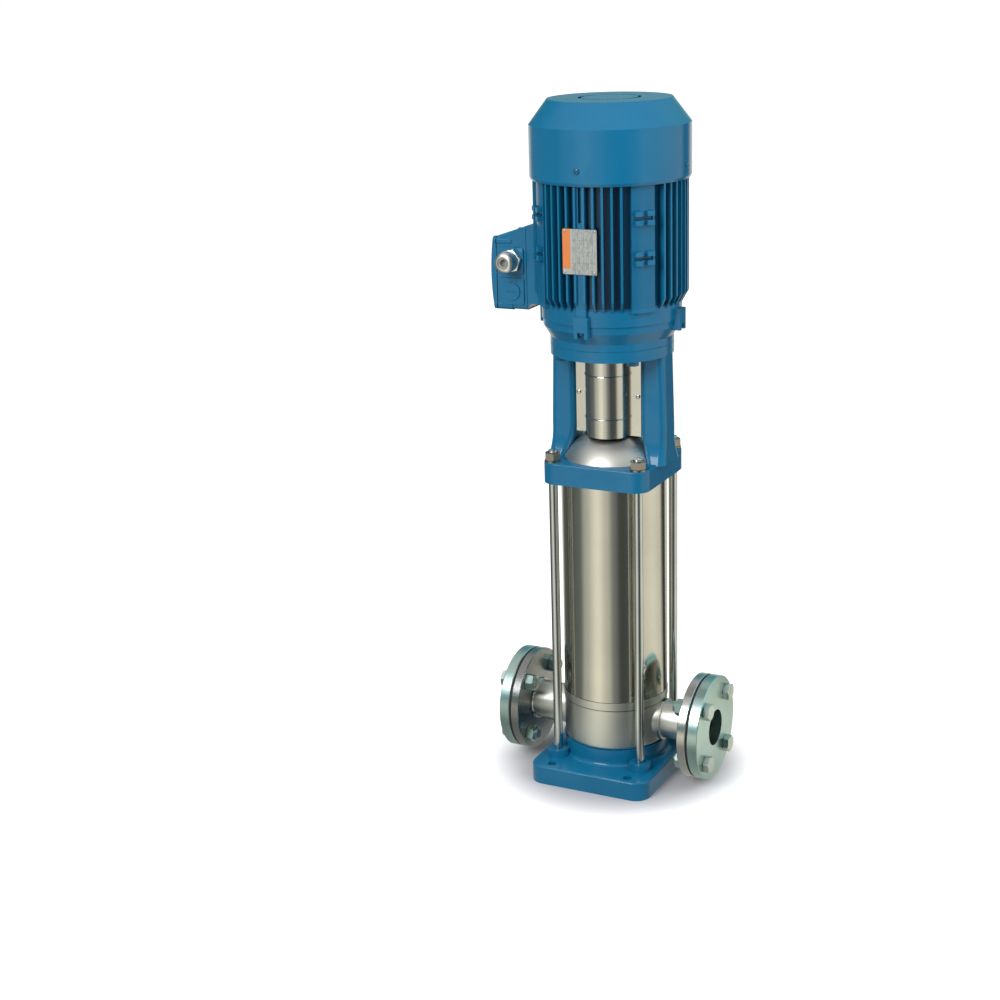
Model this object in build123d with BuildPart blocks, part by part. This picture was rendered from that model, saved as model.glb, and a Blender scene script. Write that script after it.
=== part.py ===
"""Vertical multistage in-line pump: cast base, stainless pump, lantern and flange-mounted motor.

The origin is the middle of the base's underside, +Z runs up the shaft, X runs along the two
in-line branches (suction at -X, discharge at +X) and -Y is the side of the motor's rating plate.
"""

import os
from math import cos, radians, sin, sqrt

from build123d import *

os.makedirs("parts", exist_ok=True)

# Fits
running_fit = 0.08  # radial play of a turning piece in a fixed one
push_fit = 0.05  # radial play of a piece pushed onto its seat
bolt_play = 1.0  # radial play of a bolt in its hole

# Base casting
base_length = 200.0
base_width = 248.0
base_corner_r = 24.0
plate_height = 30.0
plate_edge_r = 3.0
plate_rim = 14.0
plate_skin = 10.0
rib_width = 8.0
anchor_edge_x = 35.0
anchor_edge_y = 16.5
anchor_hole_r = 7.0
anchor_boss_r = 16.0
neck_r = 84.0
neck_flare = 7.0
neck_height = 26.0
neck_bore_r = 52.0
rod_lug_r = 17.0
rod_lug_height = 12.0

# Tie rods
rod_span = 141.0
rod_r = 7.0
rod_bite = 20.0
rod_nut_af = 22.0
rod_nut_height = 12.0
rod_washer_r = 12.5
rod_washer_height = 2.5
rod_tip = 4.0
rod_chamfer = 1.2

# Lower casing and its branches
casing_r = 82.0
casing_wall = 3.0
casing_floor = 3.0
casing_edge_r = 5.0
casing_height = 67.0
collar_step = 1.0
collar_height = 14.0
collar_bore_r = 71.0
spigot_height = 9.0
chamber_r = 61.0
chamber_wall = 3.0
port_height = 90.0
port_span = 300.0
pipe_r = 30.0
pipe_wall = 2.5
weld_collar_r = 33.0
weld_collar_reach = 5.0

# Flanges, gaskets and their bolts
flange_r = 82.5
flange_thickness = 14.0
flange_edge = 1.0
counter_thickness = 17.0
gasket_thickness = 3.0
gasket_rim = 0.7
gasket_bore_r = 31.0
thread_bore_r = 28.5
bolt_circle_r = 62.5
bolt_count = 4
bolt_r = 8.0
bolt_af = 24.0
bolt_head_height = 10.0
bolt_nut_height = 13.0
bolt_tip = 5.0

# Outer sleeve and its seals
sleeve_length = 350.0
sleeve_wall = 2.5
seal_ring_half = 1.5
groove_play = 0.3

# Stages
stage_count = 8
stage_pitch = 36.0
stage_r = 66.0
stage_wall = 2.0
stage_plate = 3.0
spider_height = 6.0
spider_arm = 8.0
spider_arm_count = 3
spider_hub_r = 18.0
bush_wall = 3.0
eye_r = 22.0
eye_wall = 1.5
eye_play = 0.4
impeller_r = 54.0
impeller_hub_r = 12.5
shroud = 1.5
front_shroud_gap = 3.0
vane_width = 9.0
vane_thickness = 1.8
vane_count = 6
vane_sweep = 50.0
vane_bend_r = 48.0
return_vane_count = 6
return_vane_height = 13.0
return_vane_root_r = 34.0
return_vane_angle = 35.0
stage_joint = 0.2
bush_gap = 0.3
top_casing_height = 45.0
top_window_r = 12.0
top_window_count = 8

# Pump head and shaft seal
head_spigot_height = 11.0
head_wall = 3.5
head_bore_r = 75.5
dome_sphere_r = 88.0
dome_clearance = 1.0
gland_r = 33.0
gland_height = 6.0
gland_boss = 3.0
gland_edge = 1.0
gland_bore_r = 13.0
seal_seat_r = 20.0
seal_seat_height = 7.0
seal_ring_r = 17.5
seal_ring_height = 22.0
gland_screw_circle_r = 25.0
gland_screw_af = 8.0
gland_screw_head = 4.0

# Lantern bracket
foot_side = 173.0
foot_corner_r = 24.0
foot_height = 33.0
foot_edge_r = 2.0
lantern_height = 214.0
ring_height = 17.0
ring_r = 94.0
ring_edge = 1.0
leg_inner = 54.0
leg_outer = 92.0
leg_waist_outer = 95.0
leg_half_depth = 25.0
leg_corner_r = 11.0
leg_foot_inner = 67.0
leg_foot_outer = 97.0
leg_foot_half_depth = 36.0
leg_flare_height = 48.0
leg_hollow = 4.0
jamb_inner = 44.0
jamb_half_depth = 15.5
jamb_rise = 37.0
motor_spigot_r = 65.0
motor_spigot_height = 3.5
motor_bolt_circle_r = 82.5
motor_bolt_r = 5.0
motor_bolt_af = 16.0
motor_bolt_head = 7.0
motor_bolt_length = 28.0

# Coupling guards
guard_r = 35.0
guard_sheet = 1.5
guard_top_gap = 1.0
guard_screw_height = 62.0
guard_screw_r = 3.5
guard_screw_head = 2.4
guard_thread_r = 2.0
guard_thread_length = 9.0
wing_gap = 0.3

# Shafts and coupling
pump_shaft_r = 9.0
pump_shaft_tail = 12.0
motor_end_r = 14.0
motor_end_length = 60.0
shaft_end_gap = 4.0
shaft_step = 2.0
coupling_length = 82.0
coupling_top = 36.0
coupling_r = 25.5
coupling_tail_r = 17.0
coupling_edge = 2.0
coupling_split = 1.0
coupling_lug_reach = 30.0
coupling_lug_height = 18.0
coupling_lug_depth = 12.0
coupling_bolt_x = 24.0
coupling_bolt_rise = 18.0
coupling_bolt_step = 49.0
coupling_waist_rise = 42.0
coupling_bolt_r = 4.0
coupling_bolt_af = 13.0
coupling_bolt_head = 5.0
coupling_seat_r = 8.0

# Motor
shield_height = 39.0
shield_flange = 11.0
shield_top_r = 104.0
shield_register = 5.0
shield_wall = 7.0
frame_bore_r = 96.0
frame_r = 104.0
frame_ring_r = 106.0
frame_ring_height = 24.0
frame_height = 212.0
fin_r = 116.0
fin_thickness = 3.4
fin_pitch = 360.0 / 52
fin_lead_in = 14.0
pad_angle = 48.5
pad_half_angle = 10.5
pad_width = 37.0
pad_r = 111.5
foot_lug_r = 118.0
foot_lug_width = 30.0
foot_lug_height = 20.0
foot_lug_plate = 7.0
foot_lug_slot = 8.0
foot_lug_low = 91.0
foot_lug_step = 58.0
ear_r = 115.0
ear_width = 22.0
ear_height = 16.0
ear_screw_circle_r = 108.5
ear_screw_r = 3.0
ear_screw_head_r = 5.0
ear_screw_head = 5.0
ear_seat = 7.0
ear_slot_width = 11.0
boss_width = 15.0
boss_r = 112.0
boss_groove_width = 5.0
boss_groove_depth = 5.0
plate_flat_r = 113.0
bearing_bore_r = 15.0
bearing_r = 31.0
bearing_width = 16.0
bearing_ring = 4.5
bearing_height = 14.0
stator_length = 110.0
stator_bore_r = 55.0
air_gap = 0.5
winding_r = 90.0
winding_bore_r = 60.0
winding_height = 20.0
rotor_shaft_r = 20.0
rear_lug_height = 28.0
rear_lug_width = 18.0
fan_shaft_r = 12.0

# Fan and fan cover
cover_r = 120.4
cover_sheet = 1.8
cover_overlap = 6.0
cover_height = 116.0
cover_wall_height = 80.0
cover_top_r = 93.0
cover_lip = 2.2
grille_r = 50.0
grille_hub_r = 9.0
grille_slot = 5.0
grille_bar = 3.2
grille_spoke = 5.0
grille_spoke_count = 4
cover_screw_height = 22.0
cover_screw_r = 2.5
cover_screw_head_r = 4.6
cover_screw_head = 2.4
cover_screw_length = 12.0
fan_r = 86.0
fan_disc = 2.5
fan_hub_r = 19.0
fan_hub_height = 22.0
fan_blade_height = 26.0
fan_blade_thickness = 2.4
fan_blade_count = 7
fan_blade_root_r = 34.0
fan_rise = 22.0

# Terminal box
box_seam = 119.0
box_depth = 49.0
box_half_width = 48.0
box_rise = 7.0
box_seam_length = 128.0
box_lid_length = 109.0
box_wall = 4.0
box_lid_sheet = 5.0
box_lid_bulge = 4.0
box_gasket = 1.5
box_collar_rise = 10.0
box_corner_r = 5.0
box_screw_r = 2.5
box_screw_head_r = 4.2
box_screw_head = 3.0
box_screw_inset = 5.5
box_boss_r = 7.0
entry_reach = 24.0
entry_pad = 2.0
entry_pad_side = 40.0
gland_entry_rise = 75.0
plug_entry_rise = 28.0
cable_gland_thread_r = 10.0
cable_gland_bore_r = 6.0
cable_gland_hex_af = 32.0
cable_gland_hex = 7.0
cable_gland_body_r = 13.0
cable_gland_body = 12.0
cable_gland_nut_r = 15.5
cable_gland_nut = 21.0
plug_r = 13.5
plug_head = 2.0
plug_slot = 2.4
terminal_block_length = 60.0
terminal_block_width = 34.0
terminal_block_height = 12.0
terminal_stud_r = 2.5
terminal_stud_height = 12.0

# Rating plate
plate_width = 54.0
plate_length = 66.0
plate_low = 79.0
plate_sheet = 1.0

# Heights that follow from the sizes above
neck_top = plate_height + neck_height
collar_low = neck_top + casing_height
sleeve_low = collar_low + collar_height
sleeve_top = sleeve_low + sleeve_length
foot_top = sleeve_top + foot_height
lantern_top = sleeve_top + lantern_height
ring_low = lantern_top - ring_height
frame_low = lantern_top + shield_height
fin_low = frame_low + frame_ring_height
frame_top = frame_low + frame_height
cover_low = frame_top - cover_overlap
cover_top = cover_low + cover_height
cover_cone = cover_low + cover_wall_height
sleeve_bore_r = casing_r - sleeve_wall
anchor_span_x = base_length - 2 * anchor_edge_x
anchor_span_y = base_width - 2 * anchor_edge_y
rod_seat = plate_height + rod_lug_height
flange_face = port_span / 2
counter_face = flange_face + gasket_thickness + counter_thickness
stack_low = sleeve_low + spider_height
stack_top = stack_low + stage_count * stage_pitch
head_low = stack_top + top_casing_height
dome_centre = foot_top - sqrt(dome_sphere_r**2 - head_bore_r**2)
gland_low = dome_centre + sqrt(dome_sphere_r**2 - gland_r**2) + gland_boss
gland_top = gland_low + gland_height
motor_end_low = lantern_top - motor_end_length
pump_shaft_top = motor_end_low - shaft_end_gap
coupling_high = lantern_top - coupling_top
coupling_low = coupling_high - coupling_length
coupling_waist = coupling_low + coupling_waist_rise
coupling_bolt_heights = (
    coupling_low + coupling_bolt_rise,
    coupling_low + coupling_bolt_rise + coupling_bolt_step,
)
jamb_screw_x = (jamb_inner + leg_inner) / 2
front_bearing_low = lantern_top + bearing_height
rear_bearing_low = frame_top + 3.0
stator_low = frame_low + (frame_height - stator_length) / 2
fan_low = frame_top + fan_rise
cover_bore_r = cover_r - cover_sheet
cover_screw_at = cover_low + cover_screw_height
plate_bottom = frame_low + plate_low
plate_top = plate_bottom + plate_length
jamb_low = foot_top + jamb_rise
guard_top = ring_low - guard_top_gap
box_outer = box_seam + box_depth
entry_x = -(box_seam + entry_reach)
box_low = frame_low + box_rise
box_seam_high = box_low + box_seam_length
box_lid_high = box_low + box_lid_length
box_collar_low = box_low + box_collar_rise
gland_entry_height = box_low + gland_entry_rise
plug_entry_height = box_low + plug_entry_rise

quarter_turns = (0.0, 90.0, 180.0, 270.0)
branch_sides = (-1, 1)
pad_angles = (pad_angle - 90, 90 - pad_angle, 90 + pad_angle, 270 - pad_angle)


def clear_of_pads(angle):
    """Tell whether a fin at this angle stands clear of the foot pads and of the front boss."""
    to_pad = min(abs((angle - pad + 180) % 360 - 180) for pad in pad_angles)
    return to_pad > pad_half_angle


fin_angles = [turn for turn in ((k + 0.5) * fin_pitch for k in range(52)) if clear_of_pads(turn)]


def turned(outline):
    """Return a builder holding the solid turned about Z from a (radius, height) outline."""
    with BuildPart() as body:
        with BuildSketch(Plane.XZ):
            with BuildLine():
                Polyline(*outline, close=True)
            make_face()
        revolve(axis=Axis.Z)
    return body


def tube(outer_r, inner_r, low, high):
    """Return a builder holding an upright tube."""
    with BuildPart() as body:
        with BuildSketch(Plane.XY.offset(low)):
            Circle(outer_r)
            Circle(inner_r, mode=Mode.SUBTRACT)
        extrude(amount=high - low)
    return body


def radial_plane(angle, distance=0.0):
    """Return an upright plane whose X runs outwards at an angle from +X, starting at a distance."""
    turn = radians(angle)
    outwards = (cos(turn), sin(turn), 0)
    origin = (distance * cos(turn), distance * sin(turn), 0)
    return Plane(origin=origin, x_dir=outwards, z_dir=(sin(turn), -cos(turn), 0))


def hexagon(across_flats):
    """Draw a hexagon by the size across its flats."""
    return RegularPolygon(radius=across_flats / sqrt(3), side_count=6)


# ---------------------------------------------------------------- base and tie rods
with BuildPart() as base_plate:
    with BuildSketch():
        RectangleRounded(base_length, base_width, base_corner_r)
    extrude(amount=plate_height)
    fillet(base_plate.faces().sort_by(Axis.Z)[-1].edges(), plate_edge_r)
    with BuildSketch(Plane.XZ):
        with BuildLine():
            flare = RadiusArc(
                (neck_r + neck_flare, plate_height), (neck_r, plate_height + neck_flare), neck_flare
            )
            Polyline(flare @ 1, (neck_r, neck_top), (0, neck_top), (0, plate_height), flare @ 0)
        make_face()
    revolve(axis=Axis.Z)
    with BuildSketch(Plane.XY.offset(plate_height - plate_skin)):
        with GridLocations(rod_span, rod_span, 2, 2):
            Circle(rod_lug_r)
    extrude(amount=plate_skin + rod_lug_height)
    with BuildSketch():
        RectangleRounded(
            base_length - 2 * plate_rim, base_width - 2 * plate_rim, base_corner_r - plate_rim / 2
        )
        with GridLocations(anchor_span_x, anchor_span_y, 2, 2):
            Circle(anchor_boss_r, mode=Mode.SUBTRACT)
        with GridLocations(rod_span, rod_span, 2, 2):
            Circle(rod_lug_r, mode=Mode.SUBTRACT)
        Rectangle(base_length, rib_width, mode=Mode.SUBTRACT)
        Rectangle(rib_width, base_width, mode=Mode.SUBTRACT)
    extrude(amount=plate_height - plate_skin, mode=Mode.SUBTRACT)
    with BuildSketch(Plane.XY.offset(plate_height - plate_skin)):
        Circle(neck_bore_r)
    extrude(amount=neck_top, mode=Mode.SUBTRACT)
    with BuildSketch(Plane.XY.offset(rod_seat)):
        with GridLocations(rod_span, rod_span, 2, 2):
            Circle(rod_r + push_fit)
    extrude(amount=-rod_bite, mode=Mode.SUBTRACT)
    with BuildSketch():
        with GridLocations(anchor_span_x, anchor_span_y, 2, 2):
            Circle(anchor_hole_r)
    extrude(amount=plate_height, mode=Mode.SUBTRACT)

rod_top = foot_top + rod_washer_height + rod_nut_height + rod_tip
with BuildPart() as tie_rods:
    with BuildSketch(Plane.XY.offset(rod_seat - rod_bite)):
        with GridLocations(rod_span, rod_span, 2, 2):
            Circle(rod_r)
    extrude(amount=rod_top - (rod_seat - rod_bite))
    chamfer(tie_rods.edges().group_by(Axis.Z)[-1], rod_chamfer)

with BuildPart() as tie_rod_washers:
    with BuildSketch(Plane.XY.offset(foot_top)):
        with GridLocations(rod_span, rod_span, 2, 2):
            Circle(rod_washer_r)
            Circle(rod_r + push_fit, mode=Mode.SUBTRACT)
    extrude(amount=rod_washer_height)

with BuildPart() as tie_rod_nuts:
    with BuildSketch(Plane.XY.offset(foot_top + rod_washer_height)):
        with GridLocations(rod_span, rod_span, 2, 2):
            hexagon(rod_nut_af)
            Circle(rod_r + push_fit, mode=Mode.SUBTRACT)
    extrude(amount=rod_nut_height)

# ---------------------------------------------------------------- lower casing and branches
spigot_r = sleeve_bore_r - push_fit
groove_low = sleeve_low + (spigot_height - 2 * seal_ring_half) / 2 - groove_play
with BuildPart() as lower_casing:
    with BuildSketch(Plane.XZ):
        with BuildLine():
            edge = RadiusArc(
                (casing_r - casing_edge_r, neck_top), (casing_r, neck_top + casing_edge_r), -casing_edge_r
            )
            Polyline(
                edge @ 1,
                (casing_r, collar_low),
                (casing_r + collar_step, collar_low + collar_step),
                (casing_r + collar_step, sleeve_low - collar_step),
                (casing_r, sleeve_low),
                (spigot_r, sleeve_low),
                (spigot_r, groove_low),
                (spigot_r - 2 * seal_ring_half, groove_low),
                (spigot_r - 2 * seal_ring_half, groove_low + 2 * (seal_ring_half + groove_play)),
                (spigot_r, groove_low + 2 * (seal_ring_half + groove_play)),
                (spigot_r, sleeve_low + spigot_height),
                (collar_bore_r, sleeve_low + spigot_height),
                (collar_bore_r, collar_low),
                (casing_r - casing_wall, collar_low - (casing_r - casing_wall - collar_bore_r)),
                (casing_r - casing_wall, neck_top + casing_floor),
                (0, neck_top + casing_floor),
                (0, neck_top),
                edge @ 0,
            )
        make_face()
    revolve(axis=Axis.Z)
    with BuildSketch(Plane.XZ):
        with BuildLine():
            Polyline(
                (chamber_r, neck_top + casing_floor),
                (chamber_r, sleeve_low - casing_floor),
                (stage_r, sleeve_low - casing_floor),
                (stage_r, sleeve_low),
                (chamber_r - chamber_wall, sleeve_low),
                (chamber_r - chamber_wall, neck_top + casing_floor),
                close=True,
            )
        make_face()
    revolve(axis=Axis.Z)
    for side, inner_end in ((-1, chamber_r - pipe_r / 2), (1, casing_r - 3 * casing_wall)):
        with BuildSketch(Plane.YZ.offset(side * inner_end)):
            with Locations((0, port_height)):
                Circle(pipe_r)
        extrude(amount=side * (flange_face - inner_end))
        with BuildSketch(Plane.YZ.offset(side * (casing_r - 3 * casing_wall))):
            with Locations((0, port_height)):
                Circle(weld_collar_r)
        extrude(amount=side * (3 * casing_wall + weld_collar_reach))
    with BuildSketch(Plane.XY.offset(neck_top + casing_floor)):
        Circle(chamber_r - chamber_wall)
    extrude(amount=casing_height, mode=Mode.SUBTRACT)
    for side, inner_end in ((-1, chamber_r - pipe_r), (1, chamber_r + chamber_wall)):
        with BuildSketch(Plane.YZ.offset(side * inner_end)):
            with Locations((0, port_height)):
                Circle(pipe_r - pipe_wall)
        extrude(amount=side * (flange_face - inner_end), mode=Mode.SUBTRACT)

with BuildPart() as sleeve_seal_rings:
    for height in (groove_low + groove_play, sleeve_top - head_spigot_height / 2 - seal_ring_half):
        with BuildSketch(Plane.XY.offset(height)):
            Circle(spigot_r)
            Circle(spigot_r - 2 * seal_ring_half, mode=Mode.SUBTRACT)
        extrude(amount=2 * seal_ring_half)

outer_sleeve = tube(casing_r, sleeve_bore_r, sleeve_low, sleeve_top)

# ---------------------------------------------------------------- pipe flanges


def flange_ring(side, near, far, inner_r, edge):
    """Return a builder holding one drilled flange ring between two distances from the pump's axis."""
    with BuildPart() as ring:
        with BuildSketch(Plane.YZ.offset(side * near)):
            with Locations((0, port_height)):
                Circle(flange_r)
        extrude(amount=side * (far - near))
        chamfer(ring.edges().filter_by(GeomType.CIRCLE), edge)
        with BuildSketch(Plane.YZ.offset(side * near)):
            with Locations((0, port_height)):
                Circle(inner_r)
                with PolarLocations(bolt_circle_r, bolt_count, start_angle=45):
                    Circle(bolt_r + bolt_play)
        extrude(amount=side * (far - near), mode=Mode.SUBTRACT)
    return ring


def gasket(side):
    """Return a builder holding the full-face gasket between two flanges."""
    with BuildPart() as disc:
        with BuildSketch(Plane.YZ.offset(side * flange_face)):
            with Locations((0, port_height)):
                Circle(flange_r - gasket_rim)
                Circle(gasket_bore_r, mode=Mode.SUBTRACT)
                with PolarLocations(bolt_circle_r, bolt_count, start_angle=45):
                    Circle(bolt_r + bolt_play, mode=Mode.SUBTRACT)
        extrude(amount=side * gasket_thickness)
    return disc


flange_back = flange_face - flange_thickness
counter_back = flange_face + gasket_thickness
suction_flange, discharge_flange = (
    flange_ring(side, flange_back, flange_face, pipe_r + push_fit, flange_edge) for side in branch_sides
)
suction_gasket, discharge_gasket = (gasket(side) for side in branch_sides)
suction_counter_flange, discharge_counter_flange = (
    flange_ring(side, counter_back, counter_face, thread_bore_r, flange_edge) for side in branch_sides
)

with BuildPart() as flange_bolts:
    for side in branch_sides:
        with BuildSketch(Plane.YZ.offset(side * counter_face)):
            with Locations((0, port_height)):
                with PolarLocations(bolt_circle_r, bolt_count, start_angle=45):
                    hexagon(bolt_af)
        extrude(amount=side * bolt_head_height)
        with BuildSketch(Plane.YZ.offset(side * counter_face)):
            with Locations((0, port_height)):
                with PolarLocations(bolt_circle_r, bolt_count, start_angle=45):
                    Circle(bolt_r)
        extrude(amount=-side * (counter_face - flange_back + bolt_nut_height + bolt_tip))

with BuildPart() as flange_nuts:
    for side in branch_sides:
        with BuildSketch(Plane.YZ.offset(side * flange_back)):
            with Locations((0, port_height)):
                with PolarLocations(bolt_circle_r, bolt_count, start_angle=45):
                    hexagon(bolt_af)
                    Circle(bolt_r + push_fit, mode=Mode.SUBTRACT)
        extrude(amount=-side * bolt_nut_height)

# ---------------------------------------------------------------- stages inside the sleeve
bush_r = pump_shaft_r + running_fit + bush_wall
with BuildPart() as inlet_spider:
    with BuildSketch(Plane.XY.offset(sleeve_low)):
        Circle(stage_r)
        Circle(chamber_r - chamber_wall, mode=Mode.SUBTRACT)
        Circle(spider_hub_r)
        with PolarLocations(chamber_r / 2, spider_arm_count):
            Rectangle(chamber_r, spider_arm)
        Circle(bush_r + push_fit, mode=Mode.SUBTRACT)
    extrude(amount=spider_height)

bottom_bush = tube(bush_r, pump_shaft_r + running_fit, sleeve_low - bush_wall, stack_low - 2 * bush_gap)

return_vane_length = (stage_r - return_vane_root_r) / cos(radians(return_vane_angle))
with BuildPart() as stage_casings:
    for stage in range(stage_count):
        low = stack_low + stage * stage_pitch
        with BuildSketch(Plane.XY.offset(low)):
            Circle(stage_r)
            Circle(eye_r + eye_play, mode=Mode.SUBTRACT)
        extrude(amount=stage_plate)
        with BuildSketch(Plane.XY.offset(low + stage_plate)):
            Circle(stage_r)
            Circle(stage_r - stage_wall, mode=Mode.SUBTRACT)
        extrude(amount=stage_pitch - stage_plate - stage_joint)
        with BuildSketch(Plane.XY.offset(low + stage_pitch - stage_joint)):
            with PolarLocations((stage_r + return_vane_root_r) / 2 - stage_wall / 2, return_vane_count):
                Rectangle(return_vane_length, vane_thickness, rotation=return_vane_angle)
            Circle(stage_r - stage_wall / 2, mode=Mode.INTERSECT)
        extrude(amount=-return_vane_height)

vane_end = (impeller_r * cos(radians(vane_sweep)), -impeller_r * sin(radians(vane_sweep)))
with BuildPart() as impellers:
    for stage in range(stage_count):
        low = stack_low + stage * stage_pitch
        front_low = low + stage_plate + front_shroud_gap
        back_low = front_low + shroud + vane_width
        with BuildSketch(Plane.XY.offset(low)):
            Circle(impeller_hub_r)
        extrude(amount=stage_pitch - stage_joint)
        with BuildSketch(Plane.XY.offset(low)):
            Circle(eye_r)
            Circle(eye_r - eye_wall, mode=Mode.SUBTRACT)
        extrude(amount=front_low - low)
        with BuildSketch(Plane.XY.offset(front_low)):
            Circle(impeller_r)
            Circle(eye_r - eye_wall, mode=Mode.SUBTRACT)
        extrude(amount=shroud)
        with BuildSketch(Plane.XY.offset(front_low + shroud)):
            for vane in range(vane_count):
                with BuildLine(Plane.XY.rotated((0, 0, vane * 360 / vane_count))):
                    RadiusArc((eye_r, 0), vane_end, vane_bend_r)
                    offset(amount=vane_thickness / 2, side=Side.BOTH)
                make_face()
            Circle(impeller_r, mode=Mode.INTERSECT)
        extrude(amount=vane_width)
        with BuildSketch(Plane.XY.offset(back_low)):
            Circle(impeller_r)
        extrude(amount=shroud)
    with BuildSketch(Plane.XY.offset(stack_low)):
        Circle(pump_shaft_r + push_fit)
    extrude(amount=stage_count * stage_pitch, mode=Mode.SUBTRACT)

with BuildPart() as top_casing:
    with BuildSketch(Plane.XY.offset(stack_top)):
        Circle(stage_r)
        Circle(stage_r - stage_wall, mode=Mode.SUBTRACT)
    extrude(amount=top_casing_height - stage_plate)
    with BuildSketch(Plane.XY.offset(head_low - stage_plate)):
        Circle(head_bore_r)
        Circle(gland_r, mode=Mode.SUBTRACT)
    extrude(amount=stage_plate)
    for turn in range(top_window_count // 2):
        across = radians(turn * 360 / top_window_count)
        middle = (0, 0, stack_top + (top_casing_height - stage_plate) / 2)
        with BuildSketch(Plane(origin=middle, z_dir=(cos(across), sin(across), 0))):
            Circle(top_window_r)
        extrude(amount=stage_r, both=True, mode=Mode.SUBTRACT)

# ---------------------------------------------------------------- pump head and shaft seal
head_r = sleeve_bore_r - push_fit
throat_r = head_bore_r - push_fit
inner_sphere_r = dome_sphere_r - head_wall
inner_r = throat_r - head_wall
groove_middle = sleeve_top - head_spigot_height / 2
seal_bore_r = seal_seat_r + push_fit
with BuildPart() as pump_head:
    with BuildSketch(Plane.XZ):
        with BuildLine():
            outside = RadiusArc(
                (throat_r, dome_centre + sqrt(dome_sphere_r**2 - throat_r**2)),
                (gland_r, gland_low - gland_boss),
                -dome_sphere_r,
            )
            inside = RadiusArc(
                (inner_r, dome_centre + sqrt(inner_sphere_r**2 - inner_r**2)),
                (seal_bore_r, dome_centre + sqrt(inner_sphere_r**2 - seal_bore_r**2)),
                -inner_sphere_r,
            )
            Polyline(
                inside @ 0,
                (inner_r, head_low),
                (head_r, head_low),
                (head_r, groove_middle - seal_ring_half - groove_play),
                (head_r - 2 * seal_ring_half, groove_middle - seal_ring_half - groove_play),
                (head_r - 2 * seal_ring_half, groove_middle + seal_ring_half + groove_play),
                (head_r, groove_middle + seal_ring_half + groove_play),
                (head_r, sleeve_top),
                (throat_r, sleeve_top),
                outside @ 0,
            )
            Polyline(outside @ 1, (gland_r, gland_low), (seal_bore_r, gland_low), inside @ 1)
        make_face()
    revolve(axis=Axis.Z)

seal_gland = tube(gland_r - gland_edge, gland_bore_r, gland_low, gland_top)
seal_seat = tube(seal_seat_r, gland_bore_r, gland_low - seal_seat_height, gland_low)
seal_ring = tube(
    seal_ring_r,
    pump_shaft_r + push_fit,
    gland_low - seal_seat_height - running_fit - seal_ring_height,
    gland_low - seal_seat_height - running_fit,
)

with BuildPart() as gland_screws:
    with BuildSketch(Plane.XY.offset(gland_top)):
        with PolarLocations(gland_screw_circle_r, 4, start_angle=45):
            hexagon(gland_screw_af)
    extrude(amount=gland_screw_head)

# ---------------------------------------------------------------- lantern and guards
cleared_r = dome_sphere_r + dome_clearance
with BuildPart() as lantern:
    with BuildSketch(Plane.XY.offset(sleeve_top)):
        RectangleRounded(foot_side, foot_side, foot_corner_r)
    extrude(amount=foot_height)
    fillet(lantern.faces().sort_by(Axis.Z)[-1].edges(), foot_edge_r)
    with BuildSketch(Plane.XY.offset(ring_low)):
        Circle(ring_r)
    extrude(amount=ring_height)
    chamfer(lantern.edges().filter_by(GeomType.CIRCLE).group_by(Axis.Z)[-1], ring_edge)
    for side in branch_sides:
        leg_sections = (
            (foot_top - foot_edge_r, leg_foot_inner, leg_foot_outer, leg_foot_half_depth),
            (
                foot_top + leg_flare_height / 2,
                (leg_inner + leg_foot_inner - leg_hollow) / 2,
                leg_waist_outer,
                leg_half_depth + leg_hollow / 2,
            ),
            (foot_top + leg_flare_height, leg_inner, leg_waist_outer, leg_half_depth),
        )
        for height, near, far, half_depth in leg_sections:
            with BuildSketch(Plane.XY.offset(height)):
                with Locations((side * (near + far) / 2, 0)):
                    RectangleRounded(far - near, 2 * half_depth, leg_corner_r)
        loft()
        for height, far in ((foot_top + leg_flare_height, leg_waist_outer), (ring_low, leg_outer)):
            with BuildSketch(Plane.XY.offset(height)):
                with Locations((side * (leg_inner + far) / 2, 0)):
                    RectangleRounded(far - leg_inner, 2 * leg_half_depth, leg_corner_r)
        loft(ruled=True)
        with BuildSketch(Plane.XY.offset(jamb_low)):
            with Locations((side * (jamb_inner + leg_inner + leg_corner_r) / 2, 0)):
                Rectangle(leg_inner + leg_corner_r - jamb_inner, 2 * jamb_half_depth)
        extrude(amount=ring_low - jamb_low)
    with BuildSketch(Plane.XY.offset(sleeve_top)):
        Circle(head_bore_r)
    extrude(amount=foot_height, mode=Mode.SUBTRACT)
    with BuildSketch(Plane.XZ):
        with BuildLine():
            over_dome = RadiusArc(
                (sqrt(cleared_r**2 - (foot_top - dome_centre) ** 2), foot_top),
                (leg_inner, dome_centre + sqrt(cleared_r**2 - leg_inner**2)),
                -cleared_r,
            )
            Polyline(over_dome @ 1, (0, (over_dome @ 1).Y), (0, foot_top), over_dome @ 0)
        make_face()
    revolve(axis=Axis.Z, mode=Mode.SUBTRACT)
    with BuildSketch(Plane.XY.offset(ring_low)):
        Circle(motor_spigot_r + push_fit)
        with PolarLocations(motor_bolt_circle_r, 4, start_angle=45):
            Circle(motor_bolt_r + bolt_play / 2)
    extrude(amount=ring_height, mode=Mode.SUBTRACT)
    with BuildSketch(Plane.XY.offset(sleeve_top)):
        with GridLocations(rod_span, rod_span, 2, 2):
            Circle(rod_r + bolt_play)
    extrude(amount=foot_height, mode=Mode.SUBTRACT)
    with BuildSketch(Plane.XZ):
        with Locations(
            (jamb_screw_x, guard_screw_height + jamb_low), (-jamb_screw_x, guard_screw_height + jamb_low)
        ):
            Circle(guard_thread_r + push_fit)
    extrude(amount=jamb_half_depth, both=True, mode=Mode.SUBTRACT)


wing_near = guard_r - guard_sheet
wing_far = leg_inner - wing_gap


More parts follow.
